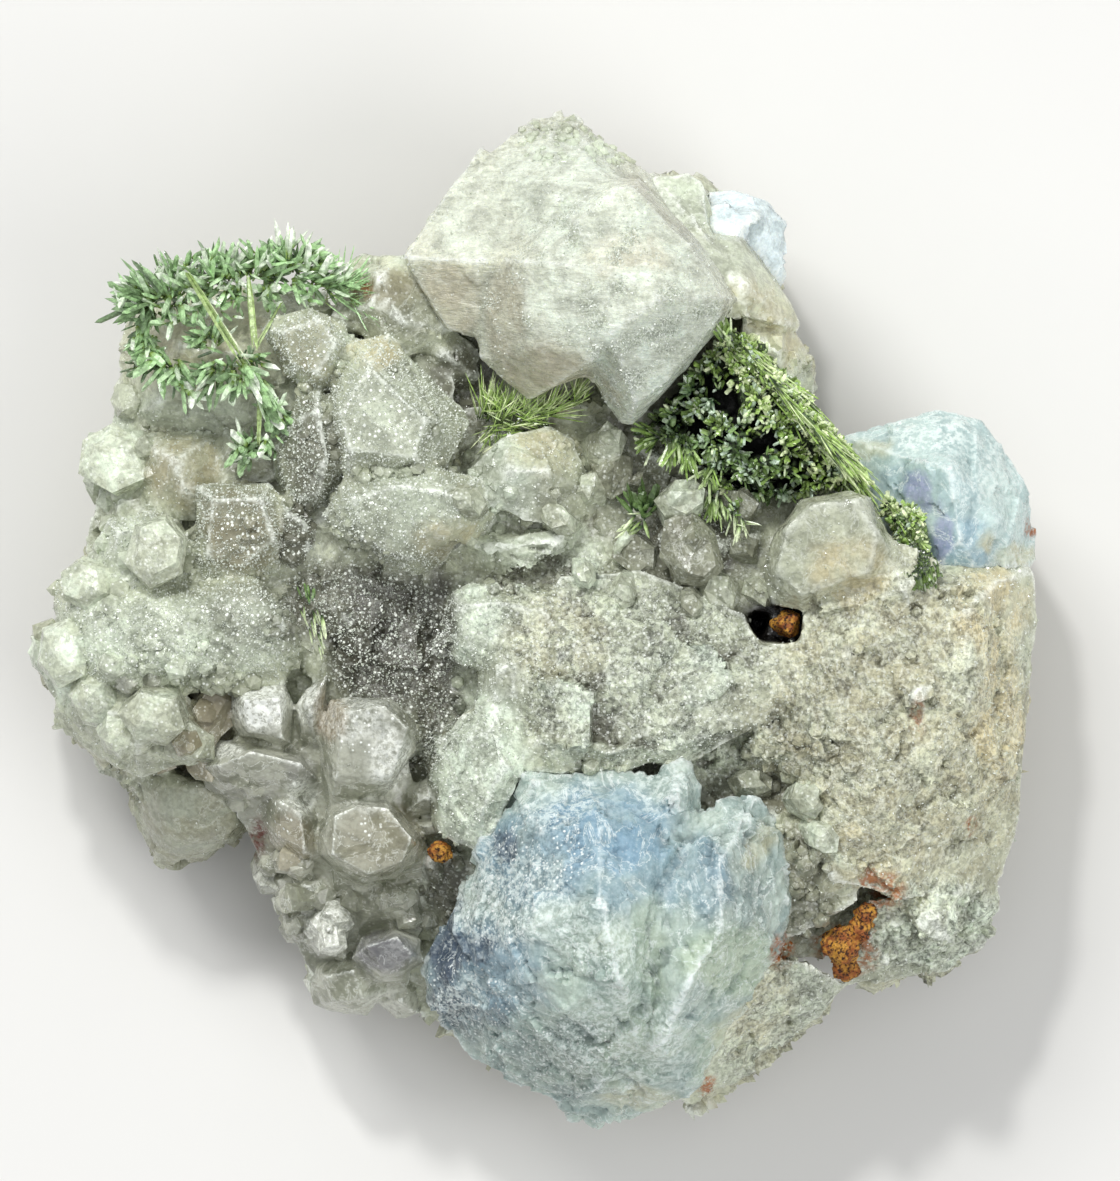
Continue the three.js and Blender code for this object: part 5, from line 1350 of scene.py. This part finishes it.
hairs = Prisms(71, 3, ((0.0, 0.8), (0.7, 0.8)), 0.8)
for tuft in [
    (486, 415, 10.4, 85, 40, 0.3, 40, 1.7), (500, 420, 10.6, 70, 60, 0.3, 40, 1.6),
    (520, 420, 10.8, 40, 60, 0.3, 40, 1.7), (545, 415, 10.8, 30, 50, 0.3, 40, 1.7),
    (575, 400, 10.8, 60, 60, 0.2, 34, 1.2), (495, 428, 10.4, 240, 50, 0.1, 20, 1.1),
    (520, 430, 10.4, 200, 60, 0.1, 30, 1.6), (540, 425, 10.7, 120, 90, 0.3, 40, 1.3),
    (505, 410, 10.6, 100, 120, 0.4, 40, 1.1),
]:
    hairs.tuft(*tuft, 0.065, tone=0.3 + 0.7 * hairs.random.random(tuft[6]))
finish_piece(hairs.mesh(), "centre_olivenite_needles", MASS_GREEN, ["centre_olivenite_tuft"])

# Small tufts: x, y, height, aim, fan, rise, count, length, width, tone
SMALL_TUFTS = {
    "small_tuft_middle": [
        (640, 511, 11, 92, 22, 0.4, 5, 1.3, 0.38, 0.1), (635, 513, 11, 126, 26, 0.4, 4, 1.1, 0.34, 0.3),
        (647, 514, 11, 60, 26, 0.4, 4, 1, 0.34, 0.05), (636, 520, 11, 200, 40, 0.2, 9, 0.95, 0.13, 0.95),
        (641, 520, 11, 246, 50, 0.2, 6, 0.8, 0.2, 0.6), (642, 514, 11, 90, 80, 0.9, 5, 0.7, 0.26, 0.2),
    ],
    "small_tuft_right": [
        (714, 490, 11.3, 100, 30, 0.4, 4, 0.6, 0.24, 0.6), (715, 500, 11.3, 282, 24, 0.2, 7, 0.9, 0.15, 0.7),
        (732, 514, 11.2, 120, 50, 0.4, 6, 0.6, 0.15, 0.6),
        (736, 520, 11.2, 272, 30, 0.15, 11, 0.9, 0.11, 0.95), (738, 522, 11.2, 356, 20, 0.1, 3, 0.8, 0.08, 1),
    ],
    "small_tuft_left": [
        (309, 600, 10.8, 100, 20, 0.3, 7, 0.6, 0.17, 0.4), (312, 612, 10.7, 285, 14, 0.1, 7, 1, 0.15, 0.9),
        (318, 634, 10.6, 288, 12, 0.1, 5, 0.8, 0.13, 0.9),
    ],
}
for seed, (name, tufts) in enumerate(SMALL_TUFTS.items()):
    needles = Prisms(81 + seed)
    for *tuft, tone in tufts:
        needles.tuft(*tuft, tone=tone, cool=1.0 if tone < 0.5 else 0.3)
    finish_piece(needles.mesh(), name + "_needles", MASS_GREEN, [name])


# Limonite


def limonite(name, voxel, seed, swell):
    """A lump of rusty grains, a little thicker than its solid where swell says so."""
    mesh = even_mesh(name, voxel)
    co, n = positions(mesh), normals(mesh)
    lift = rough(co, 0.5, seed, 4) * 0.16 + sugar(co, seed + 1, 0.22) * 0.6
    set_positions(mesh, co + n * (lift + swell)[:, None])
    add_float(mesh, "dark", soft(-lift, 0.02, 0.12))
    finish_piece(mesh, name + "_detail", LIMONITE, [name], 50)


limonite("limonite_in_pit", 0.05, 151, 0.12)
limonite("limonite_lower_right", 0.06, 153, 0.0)
limonite("limonite_beside_fluorite", 0.05, 155, 0.03)

# Stage, light and camera

floor_mesh = bpy.data.meshes.new("floor")
floor_mesh.from_pydata([(-2, -2, 0), (2, -2, 0), (2, 2, 0), (-2, 2, 0)], [], [(0, 1, 2, 3)])
plain = Nodes("floor")
grain = plain.noise(0.05, 3.0, 0.5)
plain.shader(Base_Color=plain.mix(grain, "#d6d5d1", "#deddd9"), Roughness=0.85)
floor_mesh.materials.append(plain.material)
floor = linked("floor", floor_mesh)


def lamp(name, energy, size, place):
    """A round soft lamp that shines at the middle."""
    light = bpy.data.lights.new(name, "AREA")
    light.energy, light.shape, light.size = energy, "DISK", size
    ob = linked(name, light)
    ob.location = place
    ob.rotation_euler = (-Vector(place)).to_track_quat("-Z", "Y").to_euler()


lamp("key", 2.0, 0.30, (-0.28, 0.42, 0.50))
lamp("fill", 2.4, 0.60, (0.50, -0.25, 0.60))
lamp("front", 2.1, 0.90, (0.10, 0.05, 1.30))
lamp("glint", 1.2, 0.05, (-0.10, 0.35, 0.45))

world = bpy.data.worlds.new("studio")
world.use_nodes = True
background = world.node_tree.nodes["Background"].inputs
background["Color"].default_value = (0.93, 0.95, 1.0, 1)
background["Strength"].default_value = 0.5
bpy.context.scene.world = world
bpy.context.scene.view_settings.view_transform = "Standard"

# The camera looks straight down at the crystal face, as the photograph does
SENSOR = 36
field = PICTURE[1] * MM_PER_PIXEL * MM
lens = bpy.data.cameras.new("camera")
lens.sensor_width = SENSOR
lens.lens = SENSOR * CAMERA_DISTANCE * MM / field
lens.clip_start, lens.clip_end = 0.05, 20
camera = linked("camera", lens)
middle = at(PICTURE[0] / 2, PICTURE[1] / 2)
camera.location = (middle[0] * MM, middle[1] * MM, (CAMERA_DISTANCE + FOCUS_HEIGHT) * MM)
bpy.context.scene.camera = camera
